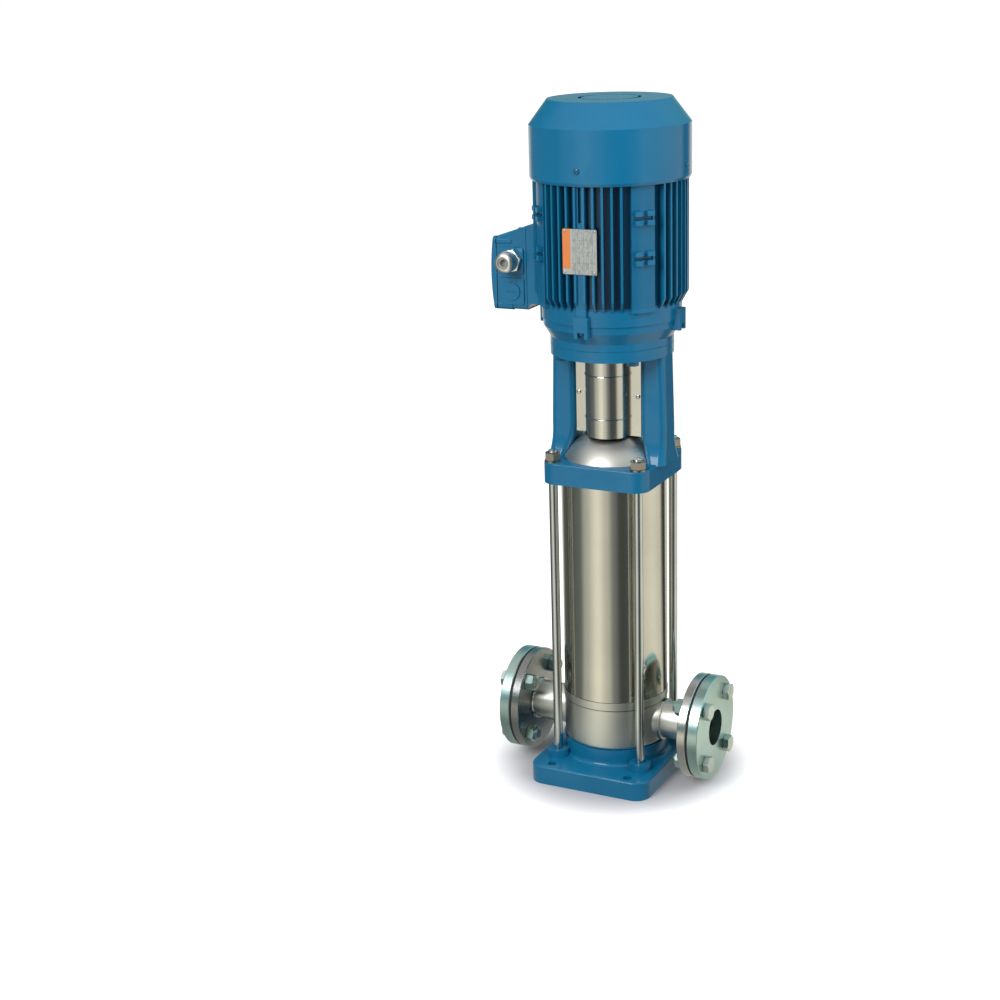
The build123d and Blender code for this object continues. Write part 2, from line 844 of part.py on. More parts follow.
def guard(facing):
    """Return a builder holding one coupling guard: a bowed sheet with a flat wing on each side."""
    back = facing * jamb_half_depth
    front = facing * (jamb_half_depth + guard_sheet)
    with BuildPart() as sheet:
        with BuildSketch(Plane.XY.offset(jamb_low)):
            with Locations((0, front)):
                Circle(guard_r)
                Circle(guard_r - guard_sheet, mode=Mode.SUBTRACT)
            with Locations((0, front - facing * guard_r)):
                Rectangle(3 * guard_r, 2 * guard_r, mode=Mode.SUBTRACT)
            for side in branch_sides:
                with Locations((side * (wing_near + wing_far) / 2, (back + front) / 2)):
                    Rectangle(wing_far - wing_near, guard_sheet)
        extrude(amount=guard_top - jamb_low)
        with BuildSketch(Plane.XZ):
            with Locations(
                (jamb_screw_x, guard_screw_height + jamb_low), (-jamb_screw_x, guard_screw_height + jamb_low)
            ):
                Circle(guard_thread_r + bolt_play / 2)
        extrude(amount=2 * jamb_half_depth, both=True, mode=Mode.SUBTRACT)
    return sheet


front_guard = guard(-1)
rear_guard = guard(1)

with BuildPart() as guard_screws:
    for facing in (-1, 1):
        seat = -facing * (jamb_half_depth + guard_sheet)
        with BuildSketch(Plane.XZ.offset(seat)):
            with Locations(
                (jamb_screw_x, guard_screw_height + jamb_low), (-jamb_screw_x, guard_screw_height + jamb_low)
            ):
                Circle(guard_screw_r)
        extrude(amount=-facing * guard_screw_head)
        with BuildSketch(Plane.XZ.offset(seat)):
            with Locations(
                (jamb_screw_x, guard_screw_height + jamb_low), (-jamb_screw_x, guard_screw_height + jamb_low)
            ):
                Circle(guard_thread_r)
        extrude(amount=facing * guard_thread_length)

# ---------------------------------------------------------------- rotating line: shafts and coupling
pump_shaft = turned(
    (
        (0, sleeve_low - pump_shaft_tail),
        (pump_shaft_r, sleeve_low - pump_shaft_tail),
        (pump_shaft_r, pump_shaft_top),
        (0, pump_shaft_top),
    )
)

motor_shaft = turned(
    (
        (0, motor_end_low),
        (motor_end_r, motor_end_low),
        (motor_end_r, front_bearing_low - shaft_step),
        (bearing_bore_r, front_bearing_low - shaft_step),
        (bearing_bore_r, front_bearing_low + bearing_width),
        (rotor_shaft_r, front_bearing_low + bearing_width),
        (rotor_shaft_r, rear_bearing_low),
        (bearing_bore_r, rear_bearing_low),
        (bearing_bore_r, rear_bearing_low + bearing_width + shaft_step),
        (fan_shaft_r, rear_bearing_low + bearing_width + shaft_step),
        (fan_shaft_r, fan_low + fan_hub_height + shaft_step),
        (0, fan_low + fan_hub_height + shaft_step),
    )
)


def coupling_half(facing):
    """Return a builder holding the half of the clamp coupling that lies on one side of the XZ plane."""
    with BuildPart() as half:
        with BuildSketch(Plane.XZ):
            with BuildLine():
                Polyline(
                    (0, coupling_low),
                    (coupling_tail_r, coupling_low),
                    (coupling_tail_r + coupling_edge, coupling_low + 2 * coupling_edge),
                    (coupling_r, coupling_waist),
                    (coupling_r, coupling_high - coupling_edge),
                    (coupling_r - coupling_edge, coupling_high),
                    (0, coupling_high),
                    close=True,
                )
            make_face()
        revolve(axis=Axis.Z)
        for height in coupling_bolt_heights:
            with BuildSketch(Plane.XY.offset(height - coupling_lug_height / 2)):
                RectangleRounded(2 * coupling_lug_reach, 2 * coupling_lug_depth, 2 * coupling_edge)
            extrude(amount=coupling_lug_height)
        for seat in (Plane.XZ.offset(coupling_lug_depth), Plane.ZX.offset(coupling_lug_depth)):
            with BuildSketch(seat):
                for height in coupling_bolt_heights:
                    for across in (coupling_bolt_x, -coupling_bolt_x):
                        with Locations(seat.to_local_coords(Vector(across, seat.origin.Y, height))):
                            Circle(coupling_seat_r)
            extrude(amount=coupling_lug_depth, mode=Mode.SUBTRACT)
        with BuildSketch(Plane.XY.offset(coupling_low)):
            Circle(pump_shaft_r + push_fit)
        extrude(amount=coupling_length, mode=Mode.SUBTRACT)
        with BuildSketch(Plane.XY.offset(pump_shaft_top)):
            Circle(motor_end_r + push_fit)
        extrude(amount=coupling_length, mode=Mode.SUBTRACT)
        with BuildSketch(Plane.XZ):
            for height in coupling_bolt_heights:
                with Locations((coupling_bolt_x, height), (-coupling_bolt_x, height)):
                    Circle(coupling_bolt_r + bolt_play / 2)
        extrude(amount=coupling_r, both=True, mode=Mode.SUBTRACT)
        kept = Keep.TOP if facing < 0 else Keep.BOTTOM
        split(bisect_by=Plane.XZ.offset(-facing * coupling_split / 2), keep=kept)
    return half


front_coupling_half = coupling_half(-1)
rear_coupling_half = coupling_half(1)

with BuildPart() as coupling_bolts:
    for height in coupling_bolt_heights:
        for side in branch_sides:
            with BuildSketch(Plane.XZ.offset(coupling_lug_depth)):
                with Locations((side * coupling_bolt_x, height)):
                    hexagon(coupling_bolt_af)
            extrude(amount=coupling_bolt_head)
            with BuildSketch(Plane.XZ.offset(coupling_lug_depth)):
                with Locations((side * coupling_bolt_x, height)):
                    Circle(coupling_bolt_r)
            extrude(amount=-2 * coupling_lug_depth)
            with BuildSketch(Plane.XZ.offset(-coupling_lug_depth)):
                with Locations((side * coupling_bolt_x, height)):
                    hexagon(coupling_bolt_af)
            extrude(amount=-coupling_bolt_head)

# ---------------------------------------------------------------- motor mounting screws
with BuildPart() as motor_mount_screws:
    with BuildSketch(Plane.XY.offset(ring_low)):
        with PolarLocations(motor_bolt_circle_r, 4, start_angle=45):
            hexagon(motor_bolt_af)
    extrude(amount=-motor_bolt_head)
    with BuildSketch(Plane.XY.offset(ring_low)):
        with PolarLocations(motor_bolt_circle_r, 4, start_angle=45):
            Circle(motor_bolt_r)
    extrude(amount=motor_bolt_length)

# ---------------------------------------------------------------- motor end shields
seat_r = bearing_r + push_fit
seal_lip_r = bearing_bore_r + running_fit
with BuildPart() as drive_end_shield:
    with BuildSketch(Plane.XZ):
        with BuildLine():
            Polyline(
                (seal_lip_r, lantern_top - motor_spigot_height),
                (motor_spigot_r, lantern_top - motor_spigot_height),
                (motor_spigot_r, lantern_top),
                (ring_r, lantern_top),
                (ring_r, lantern_top + shield_flange),
                (shield_top_r, frame_low - shield_flange),
                (shield_top_r, frame_low),
                (frame_bore_r - push_fit, frame_low),
                (frame_bore_r - push_fit, frame_low + shield_register),
                (frame_bore_r - shield_wall, frame_low + shield_register),
                (ring_r - shield_wall, lantern_top + shield_flange + shield_wall),
                (bearing_r + shield_wall, lantern_top + shield_flange),
                (bearing_r + shield_wall, front_bearing_low + bearing_width + 2),
                (seat_r, front_bearing_low + bearing_width + 2),
                (seat_r, front_bearing_low),
                (seal_lip_r, front_bearing_low),
                close=True,
            )
        make_face()
    revolve(axis=Axis.Z)
    for angle in quarter_turns:
        with BuildSketch(Plane.XY.offset(frame_low - ear_height)):
            with PolarLocations((ear_r + shield_top_r - shield_wall) / 2, 1, start_angle=angle):
                Rectangle(ear_r - shield_top_r + shield_wall, ear_width)
    extrude(amount=ear_height)
    with BuildSketch(Plane.XY.offset(frame_low - ear_height)):
        with PolarLocations(ear_screw_circle_r, 4):
            Circle(ear_screw_r + push_fit)
    extrude(amount=ear_height, mode=Mode.SUBTRACT)
    with BuildSketch(Plane.XY.offset(frame_low - ear_height)):
        with PolarLocations(ear_screw_circle_r + ear_slot_width / 2, 4):
            Rectangle(2 * ear_slot_width, ear_slot_width)
    extrude(amount=ear_height - ear_seat, mode=Mode.SUBTRACT)
    with BuildSketch(Plane.XY.offset(lantern_top)):
        with PolarLocations(motor_bolt_circle_r, 4, start_angle=45):
            Circle(motor_bolt_r + push_fit)
    extrude(amount=shield_flange, mode=Mode.SUBTRACT)

with BuildPart() as rear_end_shield:
    with BuildSketch(Plane.XZ):
        with BuildLine():
            Polyline(
                (seal_lip_r, rear_bearing_low + bearing_width + 2),
                (bearing_r + shield_wall, rear_bearing_low + bearing_width + 2),
                (bearing_r + shield_wall, frame_top + shield_wall),
                (frame_r, frame_top + shield_wall),
                (frame_r, frame_top),
                (frame_bore_r - push_fit, frame_top),
                (frame_bore_r - push_fit, frame_top - shield_register),
                (frame_bore_r - shield_wall, frame_top - shield_register),
                (frame_bore_r - shield_wall, frame_top),
                (seat_r, frame_top),
                (seat_r, rear_bearing_low + bearing_width),
                (seal_lip_r, rear_bearing_low + bearing_width),
                close=True,
            )
        make_face()
    revolve(axis=Axis.Z)
    with BuildSketch(Plane.XY.offset(frame_top)):
        with PolarLocations((cover_bore_r + frame_bore_r) / 2, 4):
            Rectangle(cover_bore_r - frame_bore_r, rear_lug_width)
        Circle(cover_bore_r, mode=Mode.INTERSECT)
    extrude(amount=rear_lug_height)
    for across in (Plane.XZ, Plane.YZ):
        with BuildSketch(across):
            with Locations((0, cover_screw_at)):
                Circle(cover_screw_r + push_fit)
        extrude(amount=cover_r, both=True, mode=Mode.SUBTRACT)

drive_end_bearing, fan_end_bearing = (
    turned(
        (
            (bearing_r - bearing_ring, low + 1),
            (bearing_r - 2 * bearing_ring, low + 1),
            (bearing_r - 2 * bearing_ring, low),
            (bearing_r, low),
            (bearing_r, low + bearing_width),
            (bearing_r - 2 * bearing_ring, low + bearing_width),
            (bearing_r - 2 * bearing_ring, low + bearing_width - 1),
            (bearing_r - bearing_ring, low + bearing_width - 1),
        )
    )
    for low in (front_bearing_low, rear_bearing_low)
)

with BuildPart() as bearing_inner_rings:
    for low in (front_bearing_low, rear_bearing_low):
        with BuildSketch(Plane.XY.offset(low)):
            Circle(bearing_bore_r + bearing_ring)
            Circle(bearing_bore_r, mode=Mode.SUBTRACT)
        extrude(amount=bearing_width)

# ---------------------------------------------------------------- finned motor frame
with BuildPart() as motor_frame:
    with BuildSketch(Plane.XY.offset(frame_low)):
        Circle(frame_r)
    extrude(amount=frame_height)
    with BuildSketch(Plane.XY.offset(frame_low)):
        Circle(frame_ring_r)
    extrude(amount=frame_ring_height)
    for angle in fin_angles:
        with BuildSketch(radial_plane(angle)):
            with BuildLine():
                Polyline(
                    (frame_bore_r + fin_thickness, fin_low - fin_thickness),
                    (frame_ring_r, fin_low - fin_thickness),
                    (fin_r, fin_low + fin_lead_in),
                    (fin_r, frame_top),
                    (frame_bore_r + fin_thickness, frame_top),
                    close=True,
                )
            make_face()
    extrude(amount=fin_thickness / 2, both=True)
    for angle in pad_angles:
        with BuildSketch(Plane.XY.offset(fin_low - fin_thickness)):
            with PolarLocations((frame_bore_r + pad_r) / 2, 1, start_angle=angle):
                Rectangle(pad_r - frame_bore_r, pad_width)
            Circle(pad_r, mode=Mode.INTERSECT)
    extrude(amount=frame_top - fin_low + fin_thickness)
    for height in (frame_low + foot_lug_low, frame_low + foot_lug_low + foot_lug_step):
        for angle in pad_angles:
            with BuildSketch(Plane.XY.offset(height)):
                with PolarLocations((frame_bore_r + foot_lug_r) / 2, 1, start_angle=angle):
                    Rectangle(foot_lug_r - frame_bore_r, foot_lug_width)
                with PolarLocations(foot_lug_r, 1, start_angle=angle):
                    Rectangle(2 * foot_lug_slot, foot_lug_slot, mode=Mode.SUBTRACT)
        extrude(amount=foot_lug_height)
        for angle in pad_angles:
            with BuildSketch(Plane.XY.offset(height + foot_lug_plate)):
                with PolarLocations(foot_lug_r, 1, start_angle=angle):
                    Rectangle(2 * (foot_lug_r - pad_r) + foot_lug_plate, foot_lug_width)
        extrude(amount=foot_lug_height - 2 * foot_lug_plate, mode=Mode.SUBTRACT)
    with BuildSketch(Plane.XY.offset(frame_low)):
        with PolarLocations((ear_r + frame_bore_r) / 2, 4):
            Rectangle(ear_r - frame_bore_r, ear_width)
    extrude(amount=ear_height)
    with BuildSketch(Plane.XY.offset(frame_low)):
        with Locations((0, -(boss_r + frame_bore_r) / 2)):
            Rectangle(boss_width, boss_r - frame_bore_r)
    extrude(amount=frame_height)
    with BuildSketch(Plane.XZ.offset(boss_r)):
        with Locations((0, (plate_top + frame_top) / 2)):
            SlotOverall(frame_top - plate_top - boss_width, boss_groove_width, rotation=90)
    extrude(amount=-boss_groove_depth, mode=Mode.SUBTRACT)
    with BuildSketch(Plane.XZ.offset(plate_flat_r)):
        with Locations((0, (plate_bottom + plate_top) / 2)):
            Rectangle(plate_width + 2, plate_length + 2)
    extrude(amount=fin_r - plate_flat_r + 1, mode=Mode.SUBTRACT)
    with BuildSketch(Plane.XZ):
        with BuildLine():
            Polyline(
                (-frame_bore_r, box_collar_low),
                (-frame_bore_r, box_seam_high),
                (-box_seam, box_seam_high),
                (-box_seam, box_low + 2),
                (-box_seam + 6, box_collar_low),
                close=True,
            )
        make_face()
    extrude(amount=box_half_width - 1, both=True)
    with BuildSketch(Plane.XY.offset(frame_low)):
        Circle(frame_bore_r)
    extrude(amount=frame_height, mode=Mode.SUBTRACT)
    with BuildSketch(Plane.XY.offset(frame_low)):
        with PolarLocations(ear_screw_circle_r, 4):
            Circle(ear_screw_r + push_fit)
    extrude(amount=ear_height, mode=Mode.SUBTRACT)

with BuildPart() as shield_screws:
    with BuildSketch(Plane.XY.offset(frame_low - ear_seat)):
        with PolarLocations(ear_screw_circle_r, 4):
            Circle(ear_screw_head_r)
    extrude(amount=-ear_screw_head)
    with BuildSketch(Plane.XY.offset(frame_low - ear_seat)):
        with PolarLocations(ear_screw_circle_r, 4):
            Circle(ear_screw_r)
    extrude(amount=ear_seat + ear_height)

with BuildPart() as rating_plate:
    with BuildSketch(Plane.XZ.offset(plate_flat_r)):
        with Locations((0, (plate_bottom + plate_top) / 2)):
            RectangleRounded(plate_width, plate_length, 2)
    extrude(amount=plate_sheet)

stator_core = tube(frame_bore_r - push_fit, stator_bore_r, stator_low, stator_low + stator_length)
with BuildPart() as stator_windings:
    for low in (stator_low - winding_height, stator_low + stator_length):
        with BuildSketch(Plane.XY.offset(low)):
            Circle(winding_r)
            Circle(winding_bore_r, mode=Mode.SUBTRACT)
        extrude(amount=winding_height)
rotor_core = tube(stator_bore_r - air_gap, rotor_shaft_r + push_fit, stator_low, stator_low + stator_length)

# ---------------------------------------------------------------- cooling fan and fan cover
with BuildPart() as cooling_fan:
    with BuildSketch(Plane.XY.offset(fan_low)):
        Circle(fan_r)
    extrude(amount=fan_disc)
    with BuildSketch(Plane.XY.offset(fan_low)):
        Circle(fan_hub_r)
    extrude(amount=fan_hub_height)
    with BuildSketch(Plane.XY.offset(fan_low)):
        with PolarLocations((fan_blade_root_r + fan_r) / 2 - 0.5, fan_blade_count):
            Rectangle(fan_r - fan_blade_root_r, fan_blade_thickness)
    extrude(amount=fan_blade_height)
    with BuildSketch(Plane.XY.offset(fan_low)):
        Circle(fan_shaft_r + push_fit)
    extrude(amount=fan_hub_height, mode=Mode.SUBTRACT)

with BuildPart() as fan_cover:
    with BuildSketch(Plane.XZ):
        with BuildLine():
            Polyline(
                (cover_r - cover_lip, cover_low),
                (cover_r, cover_low + 2 * cover_lip),
                (cover_r, cover_cone),
                (cover_top_r, cover_top),
                (0, cover_top),
                (0, cover_top - cover_sheet),
                (cover_top_r - cover_sheet / 2, cover_top - cover_sheet),
                (cover_bore_r, cover_cone - cover_sheet / 2),
                (cover_bore_r, cover_low + 2 * cover_lip),
                (cover_bore_r - cover_lip + cover_sheet / 2, cover_low),
                close=True,
            )
        make_face()
    revolve(axis=Axis.Z)
    with BuildSketch(Plane.XY.offset(cover_top)):
        for slot in range(int((grille_r - grille_hub_r) // (grille_slot + grille_bar))):
            near = grille_hub_r + slot * (grille_slot + grille_bar)
            Circle(near + grille_slot)
            Circle(near, mode=Mode.SUBTRACT)
        with PolarLocations(grille_r / 2, grille_spoke_count, start_angle=45):
            Rectangle(grille_r, grille_spoke, mode=Mode.SUBTRACT)
    extrude(amount=-2 * cover_sheet, mode=Mode.SUBTRACT)
    for across in (Plane.XZ, Plane.YZ):
        with BuildSketch(across):
            with Locations((0, cover_screw_at)):
                Circle(cover_screw_r + push_fit)
        extrude(amount=cover_r, both=True, mode=Mode.SUBTRACT)

with BuildPart() as fan_cover_screws:
    for angle in quarter_turns:
        facing = Plane(
            origin=(cover_r * cos(radians(angle)), cover_r * sin(radians(angle)), cover_screw_at),
            z_dir=(cos(radians(angle)), sin(radians(angle)), 0),
        )
        with BuildSketch(facing):
            Circle(cover_screw_head_r)
        extrude(amount=cover_screw_head)
        with BuildSketch(facing):
            Circle(cover_screw_r)
        extrude(amount=-cover_screw_length)

# ---------------------------------------------------------------- terminal box


def box_slab(near, far, inset):
    """Draw the terminal box's side outline between two distances from the shaft."""
    slope = (box_seam_high - box_lid_high) / box_depth
    Polyline(
        (-near, box_low + inset),
        (-near, box_seam_high - slope * (near - box_seam) - inset),
        (-far, box_seam_high - slope * (far - box_seam) - inset),
        (-far, box_low + inset),
        close=True,
    )


lid_face = box_outer + box_gasket
screw_lows = (box_low + box_screw_inset, box_lid_high - box_screw_inset)
screw_across = (box_screw_inset - box_half_width, box_half_width - box_screw_inset)
screw_spots = [(y, z) for y in screw_across for z in screw_lows]
with BuildPart() as terminal_box:
    with BuildSketch(Plane.XZ):
        with BuildLine():
            box_slab(box_seam, box_outer, 0)
        make_face()
    extrude(amount=box_half_width, both=True)
    side_edges = terminal_box.edges().filter_by(Axis.Y, reverse=True).filter_by(Axis.Z, reverse=True)
    fillet(side_edges, box_corner_r)
    with BuildSketch(Plane.XZ):
        with BuildLine():
            box_slab(box_seam + box_wall, box_outer, box_wall)
        make_face()
    extrude(amount=box_half_width - box_wall, both=True, mode=Mode.SUBTRACT)
    with BuildSketch(Plane.XZ.offset(box_half_width)):
        for height in (gland_entry_height, plug_entry_height):
            with Locations((entry_x, height)):
                RectangleRounded(entry_pad_side, entry_pad_side, 4)
    extrude(amount=entry_pad)
    with BuildSketch(Plane.YZ.offset(-box_outer)):
        for y, z in screw_spots:
            with Locations((y, z)):
                Circle(box_boss_r)
    extrude(amount=box_depth / 2)
    with BuildSketch(Plane.YZ.offset(-box_outer)):
        for y, z in screw_spots:
            with Locations((y, z)):
                Circle(box_screw_r + push_fit)
    extrude(amount=box_depth / 2, mode=Mode.SUBTRACT)
    with BuildSketch(Plane.XZ.offset(box_half_width + entry_pad)):
        with Locations((entry_x, gland_entry_height), (entry_x, plug_entry_height)):
            Circle(cable_gland_thread_r + push_fit)
    extrude(amount=-2 * box_wall, mode=Mode.SUBTRACT)

with BuildPart() as terminal_box_gasket:
    with BuildSketch(Plane.XZ):
        with BuildLine():
            box_slab(box_outer, lid_face, 1)
        make_face()
    extrude(amount=box_half_width - 1, both=True)
    with BuildSketch(Plane.XZ):
        with BuildLine():
            box_slab(box_outer, lid_face, box_wall)
        make_face()
    extrude(amount=box_half_width - box_wall, both=True, mode=Mode.SUBTRACT)
    with BuildSketch(Plane.YZ.offset(-lid_face)):
        for y, z in screw_spots:
            with Locations((y, z)):
                Circle(box_screw_r + bolt_play / 2)
    extrude(amount=box_gasket, mode=Mode.SUBTRACT)

screw_seat = lid_face + box_lid_sheet - 1
with BuildPart() as terminal_box_lid:
    with BuildSketch(Plane.XZ):
        with BuildLine():
            low_corner = (-(lid_face + box_lid_sheet), box_low)
            high_corner = (-(lid_face + box_lid_sheet), box_lid_high)
            Polyline(high_corner, (-lid_face, box_lid_high), (-lid_face, box_low), low_corner)
            ThreePointArc(
                low_corner,
                (-(lid_face + box_lid_sheet + box_lid_bulge), (box_low + box_lid_high) / 2),
                high_corner,
            )
        make_face()
    extrude(amount=box_half_width, both=True)
    fillet(terminal_box_lid.edges().filter_by(Axis.X), box_corner_r)
    with BuildSketch(Plane.YZ.offset(-lid_face)):
        for y, z in screw_spots:
            with Locations((y, z)):
                Circle(box_boss_r)
    extrude(amount=-box_lid_sheet)
    with BuildSketch(Plane.YZ.offset(-screw_seat)):
        for y, z in screw_spots:
            with Locations((y, z)):
                Circle(box_screw_head_r + 0.8)
    extrude(amount=-2 * box_lid_bulge, mode=Mode.SUBTRACT)
    with BuildSketch(Plane.YZ.offset(-lid_face)):
        for y, z in screw_spots:
            with Locations((y, z)):
                Circle(box_screw_r + bolt_play / 2)
    extrude(amount=-box_lid_sheet, mode=Mode.SUBTRACT)

with BuildPart() as terminal_box_screws:
    with BuildSketch(Plane.YZ.offset(-screw_seat)):
        for y, z in screw_spots:
            with Locations((y, z)):
                Circle(box_screw_head_r)
    extrude(amount=-box_screw_head)
    with BuildSketch(Plane.YZ.offset(-screw_seat)):
        for y, z in screw_spots:
            with Locations((y, z)):
                Circle(box_screw_r)
    extrude(amount=screw_seat - box_outer + box_depth / 2 - 2)

with BuildPart() as terminal_block:
    with BuildSketch(Plane.YZ.offset(-(box_seam + box_wall))):
        with Locations((0, (box_low + box_lid_high) / 2)):
            Rectangle(terminal_block_width, terminal_block_length)
    extrude(amount=-terminal_block_height)
    with BuildSketch(Plane.YZ.offset(-(box_seam + box_wall + terminal_block_height))):
        with Locations((0, (box_low + box_lid_high) / 2)):
            with GridLocations(terminal_block_width / 2, terminal_block_length / 3, 2, 3):
                Circle(terminal_stud_r)
    extrude(amount=-terminal_stud_height)

gland_face = box_half_width + entry_pad
with BuildPart() as cable_gland:
    with BuildSketch(Plane.XZ.offset(gland_face)):
        with Locations((entry_x, gland_entry_height)):
            Circle(cable_gland_thread_r)
    extrude(amount=-2 * box_wall)
    with BuildSketch(Plane.XZ.offset(gland_face)):
        with Locations((entry_x, gland_entry_height)):
            hexagon(cable_gland_hex_af)
    extrude(amount=cable_gland_hex)
    with BuildSketch(Plane.XZ.offset(gland_face + cable_gland_hex)):
        with Locations((entry_x, gland_entry_height)):
            Circle(cable_gland_body_r)
    extrude(amount=cable_gland_body)
    with BuildSketch(Plane.XZ.offset(gland_face + cable_gland_hex + cable_gland_body)):
        with Locations((entry_x, gland_entry_height)):
            Circle(cable_gland_bore_r)
    extrude(amount=-cable_gland_body - cable_gland_hex - 2 * box_wall, mode=Mode.SUBTRACT)

nut_low = gland_face + cable_gland_hex + 1
with BuildPart() as gland_nut:
    with BuildSketch(Plane.XZ.offset(nut_low)):
        with Locations((entry_x, gland_entry_height)):
            Circle(cable_gland_nut_r)
    extrude(amount=cable_gland_nut)
    fillet(gland_nut.edges().filter_by(GeomType.CIRCLE).sort_by(Axis.Y)[0], 3.5)
    with BuildSketch(Plane.XZ.offset(nut_low)):
        with Locations((entry_x, gland_entry_height)):
            Circle(cable_gland_body_r + push_fit)
    extrude(amount=cable_gland_body - 1, mode=Mode.SUBTRACT)
    with BuildSketch(Plane.XZ.offset(nut_low)):
        with Locations((entry_x, gland_entry_height)):
            Circle(cable_gland_bore_r)
    extrude(amount=cable_gland_nut, mode=Mode.SUBTRACT)

with BuildPart() as blanking_plug:
    with BuildSketch(Plane.XZ.offset(gland_face)):
        with Locations((entry_x, plug_entry_height)):
            Circle(plug_r)
    extrude(amount=plug_head)
    with BuildSketch(Plane.XZ.offset(gland_face)):
        with Locations((entry_x, plug_entry_height)):
            Circle(cable_gland_thread_r)
    extrude(amount=-2 * box_wall)
    with BuildSketch(Plane.XZ.offset(gland_face + plug_head)):
        with Locations((entry_x, plug_entry_height)):
            Rectangle(plug_r, plug_slot)
    extrude(amount=-plug_head / 2, mode=Mode.SUBTRACT)

# ---------------------------------------------------------------- labels and files
pieces = {
    "base_plate": base_plate,
    "tie_rods": tie_rods,
    "tie_rod_washers": tie_rod_washers,
    "tie_rod_nuts": tie_rod_nuts,
    "lower_casing": lower_casing,
    "sleeve_seal_rings": sleeve_seal_rings,
    "outer_sleeve": outer_sleeve,
    "suction_flange": suction_flange,
    "discharge_flange": discharge_flange,
    "suction_gasket": suction_gasket,
    "discharge_gasket": discharge_gasket,
    "suction_counter_flange": suction_counter_flange,
    "discharge_counter_flange": discharge_counter_flange,
    "flange_bolts": flange_bolts,
    "flange_nuts": flange_nuts,
    "inlet_spider": inlet_spider,
    "bottom_bush": bottom_bush,
    "stage_casings": stage_casings,
    "impellers": impellers,
    "top_casing": top_casing,
    "pump_head": pump_head,
    "seal_gland": seal_gland,
    "seal_seat": seal_seat,
    "seal_ring": seal_ring,
    "gland_screws": gland_screws,
    "lantern": lantern,
    "front_guard": front_guard,
    "rear_guard": rear_guard,
    "guard_screws": guard_screws,
    "pump_shaft": pump_shaft,
    "motor_shaft": motor_shaft,
    "front_coupling_half": front_coupling_half,
    "rear_coupling_half": rear_coupling_half,
    "coupling_bolts": coupling_bolts,
    "motor_mount_screws": motor_mount_screws,
    "drive_end_shield": drive_end_shield,
    "rear_end_shield": rear_end_shield,
    "drive_end_bearing": drive_end_bearing,
    "fan_end_bearing": fan_end_bearing,
    "bearing_inner_rings": bearing_inner_rings,
    "motor_frame": motor_frame,
    "shield_screws": shield_screws,
    "rating_plate": rating_plate,
    "stator_core": stator_core,
    "stator_windings": stator_windings,
    "rotor_core": rotor_core,
    "cooling_fan": cooling_fan,
    "fan_cover": fan_cover,
    "fan_cover_screws": fan_cover_screws,
    "terminal_box": terminal_box,
    "terminal_box_gasket": terminal_box_gasket,
    "terminal_box_lid": terminal_box_lid,
    "terminal_box_screws": terminal_box_screws,
    "terminal_block": terminal_block,
    "cable_gland": cable_gland,
    "gland_nut": gland_nut,
    "blanking_plug": blanking_plug,
}
for name, piece in pieces.items():
    piece.part.label = name
    export_step(piece.part, f"parts/{name}.step")
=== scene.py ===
"""Dress the vertical multistage pump: finishes for its solids, fine pieces, studio and camera.

Everything is in metres in the pump's own frame: Z runs up the shaft, X along the two branches
and -Y is the side of the motor's rating plate.
"""

from __future__ import annotations

import logging
import math
from collections.abc import Callable, Sequence
from dataclasses import dataclass, field
from enum import Enum

import bpy
from mathutils import Matrix, Vector

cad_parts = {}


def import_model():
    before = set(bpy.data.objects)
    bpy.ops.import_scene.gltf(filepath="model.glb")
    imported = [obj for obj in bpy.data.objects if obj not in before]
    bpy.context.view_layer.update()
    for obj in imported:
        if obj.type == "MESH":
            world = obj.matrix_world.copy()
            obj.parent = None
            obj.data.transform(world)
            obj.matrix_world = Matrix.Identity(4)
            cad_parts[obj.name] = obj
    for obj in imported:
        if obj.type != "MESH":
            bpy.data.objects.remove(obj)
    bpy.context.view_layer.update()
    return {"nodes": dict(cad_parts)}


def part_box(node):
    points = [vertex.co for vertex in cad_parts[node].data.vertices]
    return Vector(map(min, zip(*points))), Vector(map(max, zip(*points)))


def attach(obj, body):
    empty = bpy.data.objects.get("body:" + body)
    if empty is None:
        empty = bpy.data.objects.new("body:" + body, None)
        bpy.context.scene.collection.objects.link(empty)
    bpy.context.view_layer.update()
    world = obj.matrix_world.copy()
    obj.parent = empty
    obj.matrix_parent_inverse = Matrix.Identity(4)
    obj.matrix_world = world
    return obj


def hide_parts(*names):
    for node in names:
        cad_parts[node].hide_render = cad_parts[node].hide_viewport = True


LOG = logging.getLogger("pump")
Colour = tuple[float, float, float]
Number = float | int


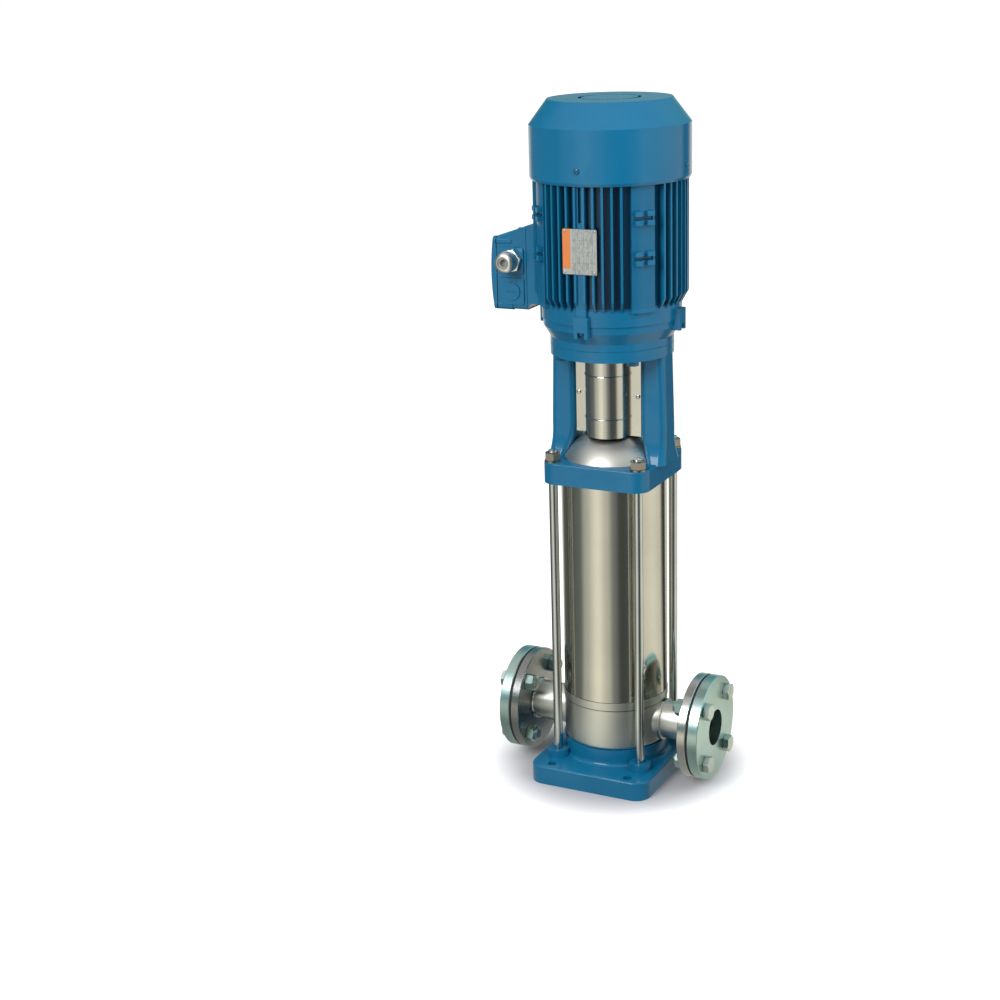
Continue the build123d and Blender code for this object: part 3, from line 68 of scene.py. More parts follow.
# ------------------------------------------------------------------ shader building
class Signal:
    """A shader socket that can be used in Python sums."""

    def __init__(self, graph: Graph, socket: bpy.types.NodeSocket) -> None:
        """Wrap an output socket of the given graph."""
        self.graph = graph
        self.socket = socket

    def _combine(self, operation: str, first: Signal | Number, second: Signal | Number) -> Signal:
        """Add a Math node.

        Args:
            operation: the Math node's operation.
            first: its first value.
            second: its second value.

        Returns:
            The node's result.
        """
        return self.graph.node("ShaderNodeMath", {"operation": operation}, {0: first, 1: second})

    def __add__(self, other: Signal | Number) -> Signal:
        """Sum."""
        return self._combine("ADD", self, other)

    def __radd__(self, other: Number) -> Signal:
        """Sum with a number on the left."""
        return self._combine("ADD", other, self)

    def __sub__(self, other: Signal | Number) -> Signal:
        """Difference."""
        return self._combine("SUBTRACT", self, other)

    def __rsub__(self, other: Number) -> Signal:
        """Difference from a number."""
        return self._combine("SUBTRACT", other, self)

    def __mul__(self, other: Signal | Number) -> Signal:
        """Product."""
        return self._combine("MULTIPLY", self, other)

    def __rmul__(self, other: Number) -> Signal:
        """Product with a number on the left."""
        return self._combine("MULTIPLY", other, self)

    def __pow__(self, power: Number) -> Signal:
        """Power."""
        return self._combine("POWER", self, power)

    def __abs__(self) -> Signal:
        """Size without sign."""
        return self._combine("ABSOLUTE", self, 0.0)

    def above(self, limit: Number) -> Signal:
        """1 where the value is over the limit, 0 elsewhere."""
        return self._combine("GREATER_THAN", self, limit)

    def below(self, limit: Number) -> Signal:
        """1 where the value is under the limit, 0 elsewhere."""
        return self._combine("LESS_THAN", self, limit)

    def clipped(self) -> Signal:
        """The value held between 0 and 1."""
        return self.graph.node(
            "ShaderNodeClamp", {}, {"Value": self, "Min": 0.0, "Max": 1.0}
        )

    def ramp(self, low: Number, high: Number) -> Signal:
        """0 at the low value rising smoothly to 1 at the high value."""
        return self.graph.node(
            "ShaderNodeMapRange",
            {"interpolation_type": "SMOOTHSTEP"},
            {"Value": self, "From Min": low, "From Max": high},
        )


class Graph:
    """The node tree of one material or world."""

    def __init__(self, tree: bpy.types.NodeTree) -> None:
        """Start on an emptied node tree."""
        self.tree = tree
        tree.nodes.clear()

    def node(
        self,
        kind: str,
        settings: dict[str, object] | None = None,
        inputs: dict[str | int, object] | None = None,
        output: str | int = 0,
    ) -> Signal:
        """Add any node.

        Args:
            kind: the node's type.
            settings: properties set first, such as a Math node's operation.
            inputs: values, or signals to link, by socket name or number.
            output: the socket to hand back.

        Returns:
            The chosen output as a signal.
        """
        made = self.tree.nodes.new(kind)
        for name, value in (settings or {}).items():
            setattr(made, name, value)
        for name, value in (inputs or {}).items():
            socket = made.inputs[name]
            if isinstance(value, Signal):
                self.tree.links.new(value.socket, socket)
            elif isinstance(value, tuple) and len(value) == 3 and socket.type == "RGBA":
                socket.default_value = (*value, 1.0)
            else:
                socket.default_value = value
        return Signal(self, made.outputs[output] if len(made.outputs) else None)

    def shader(
        self, kind: str, settings: dict[str, object] | None = None,
        inputs: dict[str | int, object] | None = None,
    ) -> Signal:
        """Add a shader node and hand back its shader output."""
        return self.node(kind, settings, inputs)

    def place(self, scale: Sequence[float] = (1.0, 1.0, 1.0)) -> Signal:
        """Object coordinates, stretched along each axis by the scale."""
        here = self.node("ShaderNodeTexCoord", output="Object")
        return self.node("ShaderNodeMapping", {}, {"Vector": here, "Scale": tuple(scale)})

    def axes(self) -> tuple[Signal, Signal, Signal]:
        """The three object coordinates as numbers."""
        here = self.node("ShaderNodeTexCoord", output="Object")
        split = self.tree.nodes.new("ShaderNodeSeparateXYZ")
        self.tree.links.new(here.socket, split.inputs[0])
        return tuple(Signal(self, socket) for socket in split.outputs)

    def noise(
        self, scale: float, stretch: Sequence[float] = (1.0, 1.0, 1.0),
        detail: float = 3.0, rough: float = 0.5,
    ) -> Signal:
        """Noise of so many lumps a metre, stretched along each axis."""
        return self.node(
            "ShaderNodeTexNoise",
            {},
            {"Vector": self.place(stretch), "Scale": scale, "Detail": detail, "Roughness": rough},
        )

    def blend(self, factor: Signal | Number, first: Signal | Colour, second: Signal | Colour) -> Signal:
        """Mix two colours.

        Args:
            factor: 0 gives the first colour, 1 the second.
            first: a colour.
            second: another colour.

        Returns:
            The mixed colour.
        """
        return self.node(
            "ShaderNodeMix", {"data_type": "RGBA"}, {0: factor, 6: first, 7: second}, output=2
        )

    def relief(
        self, height: Signal, depth: float, strength: float = 1.0, under: Signal | None = None
    ) -> Signal:
        """Turn a height from 0 to 1 into a surface relief.

        Args:
            height: the height.
            depth: its size in metres.
            strength: the share of it that shows.
            under: another relief that this one lies on.

        Returns:
            The bent normal.
        """
        inputs: dict[str | int, object] = {"Height": height, "Distance": depth, "Strength": strength}
        if under is not None:
            inputs["Normal"] = under
        return self.node("ShaderNodeBump", {}, inputs)


def new_material(name: str) -> tuple[bpy.types.Material, Graph]:
    """Start a material and hand back its graph too."""
    material = bpy.data.materials.new(name)
    material.use_nodes = True
    return material, Graph(material.node_tree)


def finish_surface(graph: Graph, inputs: dict[str | int, object]) -> None:
    """Close a material's graph with a Principled shader that has these inputs."""
    surface = graph.shader("ShaderNodeBsdfPrincipled", {}, inputs)
    graph.node("ShaderNodeOutputMaterial", {}, {"Surface": surface})


# ------------------------------------------------------------------ finishes
class Grain(Enum):
    """The way a metal's fine lines run."""

    ROUND_Z = (0.004, 0.004, 1.0)
    ALONG_Z = (1.0, 1.0, 0.004)
    ALONG_X = (0.004, 1.0, 1.0)
    CLOUDY = (1.0, 1.0, 1.0)


@dataclass(frozen=True)
class Enamel:
    """Gloss enamel over a casting or over sheet steel, with painted shade where it lies in a deep recess."""

    name: str = "enamel"
    colour: Colour = (0.006, 0.152, 0.300)
    deep: Colour = (0.004, 0.112, 0.232)
    recess_shade: Colour = (0.002, 0.042, 0.095)
    skin: float = 0.00030
    lumps: float = 130.0
    roughness: float = 0.30
    recess: tuple[float, float] | None = None
    recess_floor: float = 0.0

    def build(self) -> bpy.types.Material:
        """Make the material."""
        material, graph = new_material(self.name)
        cloud = graph.noise(9.0, detail=4.0).ramp(0.35, 0.68)
        grime = graph.noise(30.0, detail=3.0, rough=0.5).ramp(0.55, 0.85)
        tone = graph.blend(cloud * 0.35, self.colour, self.deep)
        tone = graph.blend(grime * 0.20, tone, self.deep)
        if self.recess is not None:
            # painted shade: inside the recess radii and above the recess floor the tone is blended towards the recess
            # shade colour, darkening the fin gaps
            flat = graph.place((1.0, 1.0, 0.0))
            reach = graph.node("ShaderNodeVectorMath", {"operation": "LENGTH"}, {0: flat}, 1)
            painted_recess_shade = (1 - reach.ramp(*self.recess)) * graph.axes()[2].above(self.recess_floor)
            tone = graph.blend(painted_recess_shade, tone, self.recess_shade)
        cast = graph.noise(self.lumps, detail=4.0, rough=0.55)
        peel = graph.noise(700.0, detail=2.0)
        relief = graph.relief(cast, self.skin, 0.5)
        relief = graph.relief(peel, 0.00005, 0.5, relief)
        finish_surface(
            graph,
            {
                "Base Color": tone,
                "Roughness": grime * 0.12 + self.roughness,
                "Specular IOR Level": 0.18,
                "Coat Weight": 0.46 - grime * 0.20,
                "Coat Roughness": 0.06,
                "Normal": relief,
            },
        )
        return material


@dataclass(frozen=True)
class Thread:
    """A screw thread's run along one axis, from its start to its end."""

    axis: int
    start: float
    end: float
    pitch: float = 0.0016
    depth: float = 0.0007


@dataclass(frozen=True)
class Seam:
    """A dark narrow joint line at one height."""

    height: float
    half_width: float


@dataclass(frozen=True)
class Metal:
    """Bare or plated metal with fine lines, faint clouding, handling marks, seams and threads, with painted shade in
    the threads' valleys.
    """

    name: str
    colour: Colour
    shade: Colour
    roughness: float = 0.24
    grain: Grain = Grain.CLOUDY
    lines: float = 900.0
    depth: float = 0.00004
    threads: tuple[Thread, ...] = ()
    seams: tuple[Seam, ...] = ()

    def build(self) -> bpy.types.Material:
        """Make the material."""
        material, graph = new_material(self.name)
        cloud = graph.noise(14.0, detail=4.0).ramp(0.34, 0.7)
        marks = graph.noise(85.0, detail=5.0, rough=0.65).ramp(0.58, 0.8)
        grain = graph.noise(self.lines, self.grain.value, detail=3.0, rough=0.6)
        tone = graph.blend(cloud * 0.4, self.colour, self.shade)
        tone = graph.blend(marks * 0.35, tone, self.shade)
        relief = graph.relief(grain, self.depth, 0.5)
        along = graph.axes()
        for seam in self.seams:
            line = 1 - abs(along[2] - seam.height).ramp(seam.half_width * 0.6, seam.half_width)
            tone = graph.blend(line * 0.92, tone, (0.02, 0.02, 0.02))
        for thread in self.threads:
            run = along[thread.axis]
            turn = graph.node("ShaderNodeMath", {"operation": "PINGPONG"}, {0: run, 1: thread.pitch / 2})
            reach = run.above(thread.start) * run.below(thread.end)
            ridge = turn * (2 / thread.pitch)
            # painted shade: the thread's valleys are blended towards the shade colour
            tone = graph.blend(reach * (1 - ridge) * 0.6, tone, self.shade)
            relief = graph.relief(ridge * reach, thread.depth, 0.8, relief)
        finish_surface(
            graph,
            {
                "Base Color": tone,
                "Metallic": 1.0,
                "Roughness": marks * 0.10 + (grain * 0.10 + (self.roughness - 0.05)),
                "Normal": relief,
            },
        )
        return material


@dataclass(frozen=True)
class Moulded:
    """Plastic, rubber or carbon: a soft sheen over a fine skin."""

    name: str
    colour: Colour
    pale: Colour
    roughness: float = 0.55
    specular: float = 0.4

    def build(self) -> bpy.types.Material:
        """Make the material."""
        material, graph = new_material(self.name)
        dust = graph.noise(60.0, detail=5.0, rough=0.6).ramp(0.5, 0.8)
        skin = graph.noise(900.0, detail=2.0)
        finish_surface(
            graph,
            {
                "Base Color": graph.blend(dust * 0.4, self.colour, self.pale),
                "Roughness": dust * 0.15 + self.roughness,
                "Specular IOR Level": self.specular,
                "Normal": graph.relief(skin, 0.00006, 0.5),
            },
        )
        return material


@dataclass(frozen=True)
class PlateFace:
    """The motor's bare rating plate: satin aluminium, a coloured edge band and empty ruled boxes."""

    name: str = "plate_face"
    metal: Colour = (0.46, 0.48, 0.465)
    band: Colour = (0.72, 0.215, 0.045)
    ink: Colour = (0.20, 0.21, 0.22)
    left: float = -0.027
    band_width: float = 0.0125
    bottom: float = 0.819
    pitch: float = 0.0068
    cell: float = 0.0165

    def build(self) -> bpy.types.Material:
        """Make the material."""
        material, graph = new_material(self.name)
        across, _, up = graph.axes()
        cloud = graph.noise(160.0, detail=4.0).ramp(0.3, 0.75)
        base = graph.blend(cloud * 0.35, self.metal, (0.40, 0.41, 0.42))
        inside = across.above(self.left + self.band_width + 0.002) * across.below(-self.left - 0.002)
        row = graph.node("ShaderNodeMath", {"operation": "FRACT"}, {0: (up - self.bottom) * (1 / self.cell)})
        column = graph.node("ShaderNodeMath", {"operation": "FRACT"}, {0: (across - self.left) * (1 / self.pitch)})
        field_tone = graph.noise(520.0, (1.0, 1.0, 0.35), detail=3.0).ramp(0.42, 0.60)
        base = graph.blend(field_tone * column.above(0.30) * inside * 0.55, base, (0.20, 0.20, 0.21))
        ruled = (inside * (row.below(0.035) + column.below(0.10))).clipped()
        tone = graph.blend(ruled * 0.6, base, self.ink)
        banded = across.below(self.left + self.band_width) * up.above(self.bottom + 0.008)
        tone = graph.blend(banded * 0.95, tone, self.band)
        finish_surface(
            graph,
            {
                "Base Color": tone,
                "Metallic": 0.55 - banded * 0.5,
                "Roughness": cloud * 0.12 + 0.32,
                "Normal": graph.relief(ruled, 0.00008, 0.6),
            },
        )
        return material


ENAMEL = Enamel()
# The fin enamel carries painted shade in the gaps between the fins.
FIN_ENAMEL = Enamel("fin_enamel", recess=(0.1030, 0.1150), recess_floor=0.7665)
SHEET_ENAMEL = Enamel("sheet_enamel", skin=0.00006, lumps=40.0, roughness=0.22)
SCREW_ENAMEL = Enamel("screw_enamel", (0.012, 0.105, 0.205), (0.007, 0.06, 0.12), roughness=0.36)
SLEEVE = Metal("sleeve_steel", (0.60, 0.58, 0.515), (0.50, 0.49, 0.44), 0.14, Grain.ROUND_Z, 700.0, 0.000004)
CASING = Metal(
    "casing_steel", (0.70, 0.69, 0.63), (0.59, 0.585, 0.54), 0.40, Grain.ROUND_Z, 500.0, 0.000005,
    seams=(Seam(0.1372, 0.0013), Seam(0.1229, 0.0008)),
)
STAINLESS = Metal("stainless", (0.56, 0.55, 0.52), (0.42, 0.42, 0.40), 0.24, Grain.CLOUDY, 500.0, 0.00002)
# painted shade: a darker copy of the stainless, used on the suction flange only, whose face lies in shade
SHADED_FLANGE_STEEL = Metal(
    "shaded_flange_steel", (0.34, 0.345, 0.335), (0.18, 0.185, 0.18), 0.26, Grain.ALONG_X, 500.0, 0.00003
)
BRIGHT_ROD = Metal(
    "bright_rod", (0.56, 0.58, 0.57), (0.42, 0.44, 0.435), 0.15, Grain.ALONG_Z, 900.0, 0.00001,
    threads=(Thread(2, 0.530, 0.5373),),
)
GUARD_STEEL = Metal(
    "guard_steel", (0.62, 0.60, 0.55), (0.50, 0.49, 0.46), 0.17, Grain.ROUND_Z, 800.0, 0.000005
)
DOME_STEEL = Metal(
    "dome_steel", (0.72, 0.695, 0.645), (0.60, 0.58, 0.54), 0.42, Grain.ROUND_Z, 700.0, 0.00001
)
ZINC = Metal("zinc_plate", (0.46, 0.61, 0.575), (0.32, 0.44, 0.415), 0.30, Grain.CLOUDY, 260.0, 0.00006)
NUT_STEEL = Metal("nut_steel", (0.33, 0.30, 0.26), (0.20, 0.18, 0.155), 0.34, Grain.CLOUDY, 300.0, 0.00005)
MACHINED = Metal(
    "machined_steel", (0.52, 0.52, 0.51), (0.36, 0.36, 0.36), 0.28, Grain.ROUND_Z, 900.0, 0.00002
)
CAST_IRON = Metal("cast_iron", (0.17, 0.17, 0.175), (0.10, 0.10, 0.10), 0.48, Grain.CLOUDY, 240.0, 0.0002)
NICKEL = Metal("nickel", (0.84, 0.83, 0.79), (0.70, 0.69, 0.65), 0.38, Grain.CLOUDY, 300.0, 0.00003)
BOLT_ZINC = Metal(
    "bolt_zinc", (0.60, 0.66, 0.62), (0.42, 0.47, 0.44), 0.30, Grain.CLOUDY, 300.0, 0.00004,
    threads=(Thread(0, -0.1228, -0.1170, 0.002), Thread(0, 0.1170, 0.1228, 0.002)),
)
SCREW_STEEL = Metal("screw_steel", (0.55, 0.55, 0.53), (0.36, 0.36, 0.35), 0.28, Grain.CLOUDY, 400.0, 0.00002)
LAMINATED = Metal("laminated_steel", (0.30, 0.30, 0.31), (0.18, 0.18, 0.19), 0.45, Grain.ROUND_Z, 2000.0)
COPPER = Metal("winding_copper", (0.62, 0.27, 0.13), (0.35, 0.14, 0.07), 0.35, Grain.ROUND_Z, 1200.0, 0.0003)
RUBBER = Moulded("rubber", (0.016, 0.016, 0.017), (0.06, 0.06, 0.06), 0.62)
CARBON = Moulded("seal_carbon", (0.035, 0.035, 0.038), (0.08, 0.08, 0.08), 0.35)
GREY_RUBBER = Moulded("grey_rubber", (0.30, 0.29, 0.27), (0.20, 0.19, 0.18), 0.5)
NYLON = Moulded("black_nylon", (0.022, 0.023, 0.026), (0.06, 0.06, 0.065), 0.45)
PLATE = PlateFace()


class Paintshop:
    """Makes each finish once and puts it on pieces."""

    def __init__(self) -> None:
        """Start with nothing mixed."""
        self.made: dict[str, bpy.types.Material] = {}

    def material(self, finish: Enamel | Metal | Moulded | PlateFace) -> bpy.types.Material:
        """The finish's material, made on first use."""
        if finish.name not in self.made:
            self.made[finish.name] = finish.build()
        return self.made[finish.name]

    def coat(self, piece: bpy.types.Object, finish: Enamel | Metal | Moulded | PlateFace) -> None:
        """Put one finish all over a piece."""
        material = self.material(finish)
        slots = piece.data.materials
        if len(slots) == 0:
            slots.append(material)
        for index in range(len(slots)):
            slots[index] = material


# ------------------------------------------------------------------ studio and camera
@dataclass
class Camera:
    """The camera, aimed by angles from where it stands."""

    round_angle: float = 23.7
    distance: float = 2.7535
    height: float = 1.2909
    lens: float = 66.35
    yaw: float = 3.7
    pitch: float = 17.0
    roll: float = -1.7

    def build(self) -> None:
        """Set the scene's camera."""
        stand = math.radians(self.round_angle)
        heading = math.radians(self.round_angle + self.yaw)
        pitch = math.radians(self.pitch)
        roll = math.radians(self.roll)
        ahead = Vector(
            (-math.sin(heading) * math.cos(pitch), math.cos(heading) * math.cos(pitch), -math.sin(pitch))
        )
        level = Vector((math.cos(heading), math.sin(heading), 0.0))
        upright = level.cross(ahead)
        right = level * math.cos(roll) + upright * math.sin(roll)
        up = upright * math.cos(roll) - level * math.sin(roll)
        data = bpy.data.cameras.new("camera")
        data.lens = self.lens
        data.sensor_width = 36.0
        data.clip_start = 0.1
        data.clip_end = 100.0
        camera = bpy.data.objects.new("camera", data)
        bpy.context.scene.collection.objects.link(camera)
        turn = Matrix((right, up, -ahead)).transposed().to_4x4()
        place = Vector((self.distance * math.sin(stand), -self.distance * math.cos(stand), self.height))
        camera.matrix_world = Matrix.Translation(place) @ turn
        bpy.context.scene.camera = camera


@dataclass(frozen=True)
class Softbox:
    """One soft light panel, aimed at a point on the shaft line."""

    name: str
    angle: float
    distance: float
    height: float
    width: float
    tall: float
    power: float
    aim: float
    mirrored: bool = False
    tint: Colour = (1.0, 1.0, 1.0)

    def build(self) -> None:
        """Hang the panel."""
        data = bpy.data.lights.new(self.name, "AREA")
        data.shape = "RECTANGLE"
        data.size = self.width
        data.size_y = self.tall
        data.energy = self.power
        data.color = self.tint
        lamp = bpy.data.objects.new(self.name, data)
        bpy.context.scene.collection.objects.link(lamp)
        round_angle = math.radians(self.angle)
        lamp.location = (
            self.distance * math.sin(round_angle),
            -self.distance * math.cos(round_angle),
            self.height,
        )
        aim = Vector((0.0, 0.0, self.aim)) - lamp.location
        lamp.rotation_euler = aim.to_track_quat("-Z", "Y").to_euler()
        lamp.visible_camera = False
        lamp.visible_glossy = self.mirrored


@dataclass
class Studio:
    """A pale floor, a white surround and soft panels, with screens that only metal mirrors.

    A screen is a pair: the angle round the shaft from -Y towards +X, in degrees, and its level.
    """

    floor_size: float = 60.0
    floor_bounce: Colour = (0.42, 0.42, 0.42)
    floor_shade: Colour = (0.50, 0.50, 0.525)
    floor_lift: float = 0.02
    # painted shadow halo: the radii over which the floor's white lift fades in
    shadow_halo_reach: tuple[float, float] = (0.13, 0.26)
    mirror_reach: tuple[float, float] = (0.09, 0.34)
    mirror_near: Colour = (0.42, 0.44, 0.42)
    ambient: float = 0.26
    horizon: tuple[float, float] = (-0.05, 0.10)
    zenith: tuple[float, float] = (0.45, 0.85)
    zenith_tone: Colour = (0.75, 0.75, 0.75)
    high_tint: Colour = (0.55, 1.25, 1.5)
    low_screens: tuple[tuple[float, float], ...] = (
        (-180.0, 0.90),
        (-135.0, 0.90),
        (-116.0, 0.13),
        (-92.0, 0.10),
        (-56.0, 0.20),
        (-40.0, 0.62),
        (-12.0, 1.15),
        (8.0, 0.72),
        (22.0, 0.28),
        (36.0, 0.09),
        (58.0, 0.11),
        (74.0, 0.85),
        (112.0, 1.02),
        (138.0, 0.85),
        (151.0, 0.04),
        (162.0, 0.05),
        (175.0, 0.90),
    )
    high_screens: tuple[tuple[float, float], ...] = (
        (-180.0, 0.35),
        (-120.0, 0.10),
        (-70.0, 0.10),
        (-40.0, 0.13),
        (-10.0, 0.16),
        (12.0, 0.06),
        (77.0, 0.05),
        (81.0, 0.95),
        (118.0, 1.0),
        (145.0, 0.8),
        (175.0, 0.35),
    )
    panels: tuple[Softbox, ...] = (
        Softbox("front_panel", -14.0, 2.8, 2.35, 1.5, 1.6, 74.0, 0.50, True),
        Softbox("right_panel", 84.0, 1.1, 1.30, 0.9, 0.6, 5.5, 1.0, False, (0.88, 0.97, 1.0)),
        Softbox("low_panel", 60.0, 2.4, 0.9, 0.8, 1.2, 10.0, 0.2),
        Softbox("left_panel", -95.0, 2.4, 1.2, 0.8, 2.0, 14.0, 0.6),
        Softbox("top_panel", 10.0, 0.9, 3.0, 1.8, 1.6, 13.0, 0.6),
    )

    def screens(
        self, graph: Graph, across: Signal, back: Signal, stops: tuple[tuple[float, float], ...]
    ) -> Signal:
        """The level of the screens in a direction.

        Args:
            graph: the graph to add to.
            across: the direction's X.
            back: the direction's Y.
            stops: the screens.

        Returns:
            The level, as a grey colour.
        """
        turn = graph.node("ShaderNodeMath", {"operation": "ARCTAN2"}, {0: across, 1: 0 - back})
        share = turn * (0.5 / math.pi) + 0.5
        ramp = graph.node("ShaderNodeValToRGB", {}, {"Fac": share})
        scale = ramp.socket.node.color_ramp
        scale.interpolation = "EASE"
        while len(scale.elements) < len(stops):
            scale.elements.new(0.5)
        for element, (angle, level) in zip(scale.elements, stops):
            element.position = angle / 360.0 + 0.5
            warm = max(0.0, min(1.0, (level - 0.2) / 0.6))
            element.color = (level * (0.90 + 0.12 * warm), level, level * (0.97 - 0.11 * warm), 1.0)
        return ramp

    def floor(self) -> bpy.types.Object:
        """Lay the floor: pale, and white to the camera except where the object shades it and in a painted shadow halo
        round the shaft line.
        """
        bpy.ops.object.select_all(action="DESELECT")
        bpy.ops.mesh.primitive_plane_add(size=self.floor_size, location=(0, 0, 0))
        floor = bpy.context.object
        floor.name = "floor"
        material, graph = new_material("floor")
        paths = graph.tree.nodes.new("ShaderNodeLightPath")
        seen = Signal(graph, paths.outputs["Is Camera Ray"])
        glossy = Signal(graph, paths.outputs["Is Glossy Ray"])
        across, back, _ = graph.axes()
        reach = graph.node("ShaderNodeVectorMath", {"operation": "LENGTH"}, {0: graph.place()}, 1)
        matt = graph.shader(
            "ShaderNodeBsdfDiffuse", {}, {"Color": graph.blend(seen, self.floor_bounce, self.floor_shade)}
        )
        # painted shadow: the camera's white lift only rises between the halo's two radii, so the floor round the
        # shaft stays grey
        strength = seen * (reach.ramp(*self.shadow_halo_reach) + self.floor_lift)
        lift = graph.shader("ShaderNodeEmission", {}, {"Color": (1.0, 1.0, 1.0), "Strength": strength})
        both = graph.shader("ShaderNodeAddShader", {}, {0: matt, 1: lift})
        screens = self.screens(graph, across, back, self.low_screens)
        near = graph.blend(reach.ramp(*self.mirror_reach), self.mirror_near, screens)
        screen = graph.shader("ShaderNodeEmission", {}, {"Color": near, "Strength": 1.0})
        whole = graph.shader("ShaderNodeMixShader", {}, {0: glossy, 1: both, 2: screen})
        graph.node("ShaderNodeOutputMaterial", {}, {"Surface": whole})
        floor.data.materials.append(material)
        return floor

    def surround(self) -> None:
        """Light the room: white to the camera, screens to metal and gloss, an even grey elsewhere."""
        world = bpy.data.worlds.new("surround")
        bpy.context.scene.world = world
        world.use_nodes = True
        graph = Graph(world.node_tree)
        way = graph.node("ShaderNodeTexCoord", output="Generated")
        split = graph.tree.nodes.new("ShaderNodeSeparateXYZ")
        graph.tree.links.new(way.socket, split.inputs[0])
        across, back, up = (Signal(graph, socket) for socket in split.outputs)
        paths = graph.tree.nodes.new("ShaderNodeLightPath")
        seen = Signal(graph, paths.outputs["Is Camera Ray"])
        glossy = Signal(graph, paths.outputs["Is Glossy Ray"])
        through = Signal(graph, paths.outputs["Is Transmission Ray"])
        level = (self.ambient, self.ambient, self.ambient)
        low = self.screens(graph, across, back, self.low_screens)
        high = graph.node(
            "ShaderNodeVectorMath",
            {"operation": "MULTIPLY"},
            {0: self.screens(graph, across, back, self.high_screens), 1: self.high_tint},
        )
        mirrored = graph.blend(up.ramp(*self.horizon), low, high)
        mirrored = graph.blend(up.ramp(*self.zenith), mirrored, self.zenith_tone)
        tone = graph.blend(glossy, level, mirrored)
        tone = graph.blend((seen + through).clipped(), tone, (1.0, 1.0, 1.0))
        light = graph.shader("ShaderNodeBackground", {}, {"Color": tone, "Strength": 1.0})
        graph.node("ShaderNodeOutputWorld", {}, {"Surface": light})

    def build(self) -> None:
        """Set up floor, surround and panels."""
        self.floor()
        self.surround()
        for panel in self.panels:
            panel.build()
        bpy.context.scene.view_settings.view_transform = "Standard"


# ------------------------------------------------------------------ modelling
class Workbench:
    """One piece being modelled, from a primitive to its finished mesh."""

    def __init__(self, name: str, primitive: Callable[..., object], **sizes: object) -> None:
        """Start from a primitive with nothing else selected.

        Args:
            name: the piece's name.
            primitive: the operator that adds it.
            sizes: the operator's settings.
        """
        bpy.ops.object.select_all(action="DESELECT")
        primitive(**sizes)
        self.piece = bpy.context.object
        self.piece.name = name
        bpy.ops.object.transform_apply(location=True, rotation=True, scale=True)

    def shape(self, test: Callable[[Vector, Vector], bool], *steps: Callable[[], object]) -> Workbench:
        """Select faces and run edit-mode steps on them.

        Args:
            test: takes a face's centre and normal, and says whether it is selected.
            steps: the operators to run, in order.

        Returns:
            The bench itself.
        """
        bpy.ops.object.mode_set(mode="EDIT")
        bpy.ops.mesh.select_mode(type="FACE")
        bpy.ops.mesh.select_all(action="DESELECT")
        bpy.ops.object.mode_set(mode="OBJECT")
        for face in self.piece.data.polygons:
            face.select = test(face.center, face.normal)
        bpy.ops.object.mode_set(mode="EDIT")
        for step in steps:
            step()
        bpy.ops.object.mode_set(mode="OBJECT")
        return self

    def cut(self, tool: Workbench, operation: str) -> Workbench:
        """Join, cross or cut with another piece, which is used up.

        Args:
            tool: the other piece.
            operation: the Boolean modifier's operation.

        Returns:
            The bench itself.
        """
        bpy.ops.object.select_all(action="DESELECT")
        bpy.context.view_layer.objects.active = self.piece
        self.piece.select_set(True)
        modifier = self.piece.modifiers.new("cut", "BOOLEAN")
        modifier.object = tool.piece
        modifier.operation = operation
        modifier.solver = "EXACT"
        bpy.ops.object.modifier_apply(modifier=modifier.name)
        bpy.data.objects.remove(tool.piece, do_unlink=True)
        return self

    def copy(self, name: str, place: Matrix) -> bpy.types.Object:
        """Copy the piece to a place.

        Args:
            name: the copy's name.
            place: where it goes.

        Returns:
            The copy, with its own mesh and its place in that mesh.
        """
        bpy.ops.object.select_all(action="DESELECT")
        bpy.context.view_layer.objects.active = self.piece
        self.piece.select_set(True)
        bpy.ops.object.duplicate(linked=False)
        made = bpy.context.object
        made.name = name
        made.matrix_world = place
        bpy.ops.object.transform_apply(location=True, rotation=True, scale=True)
        bpy.ops.object.shade_smooth_by_angle(angle=math.radians(32.0))
        return made

    def done(self) -> None:
        """Clear away the pattern piece once its copies are made."""
        bpy.data.objects.remove(self.piece, do_unlink=True)


def top_face(level: float) -> Callable[[Vector, Vector], bool]:
    """A test for upward faces at a height."""
    return lambda centre, normal: normal.z > 0.9 and abs(centre.z - level) < 1e-5


def bottom_face(level: float) -> Callable[[Vector, Vector], bool]:
    """A test for downward faces at a height."""
    return lambda centre, normal: normal.z < -0.9 and abs(centre.z - level) < 1e-5


def inset(thickness: float, depth: float = 0.0) -> Callable[[], object]:
    """A step that insets the selected faces and moves them outwards by a depth."""
    return lambda: bpy.ops.mesh.inset(thickness=thickness, depth=depth)


def raise_by(rise: float) -> Callable[[], object]:
    """A step that extrudes the selected faces along Z."""
    return lambda: bpy.ops.mesh.extrude_region_move(TRANSFORM_OT_translate={"value": (0.0, 0.0, rise)})


def seat(point: Sequence[float], outward: Sequence[float], spin: float = 0.0) -> Matrix:
    """The place of a piece that stands on a surface.

    Args:
        point: where it stands.
        outward: the way its own Z goes.
        spin: its turn about that line first, in degrees.

    Returns:
        The place.
    """
    turn = Vector((0.0, 0.0, 1.0)).rotation_difference(Vector(outward)).to_matrix().to_4x4()
    return Matrix.Translation(Vector(point)) @ turn @ Matrix.Rotation(math.radians(spin), 4, "Z")


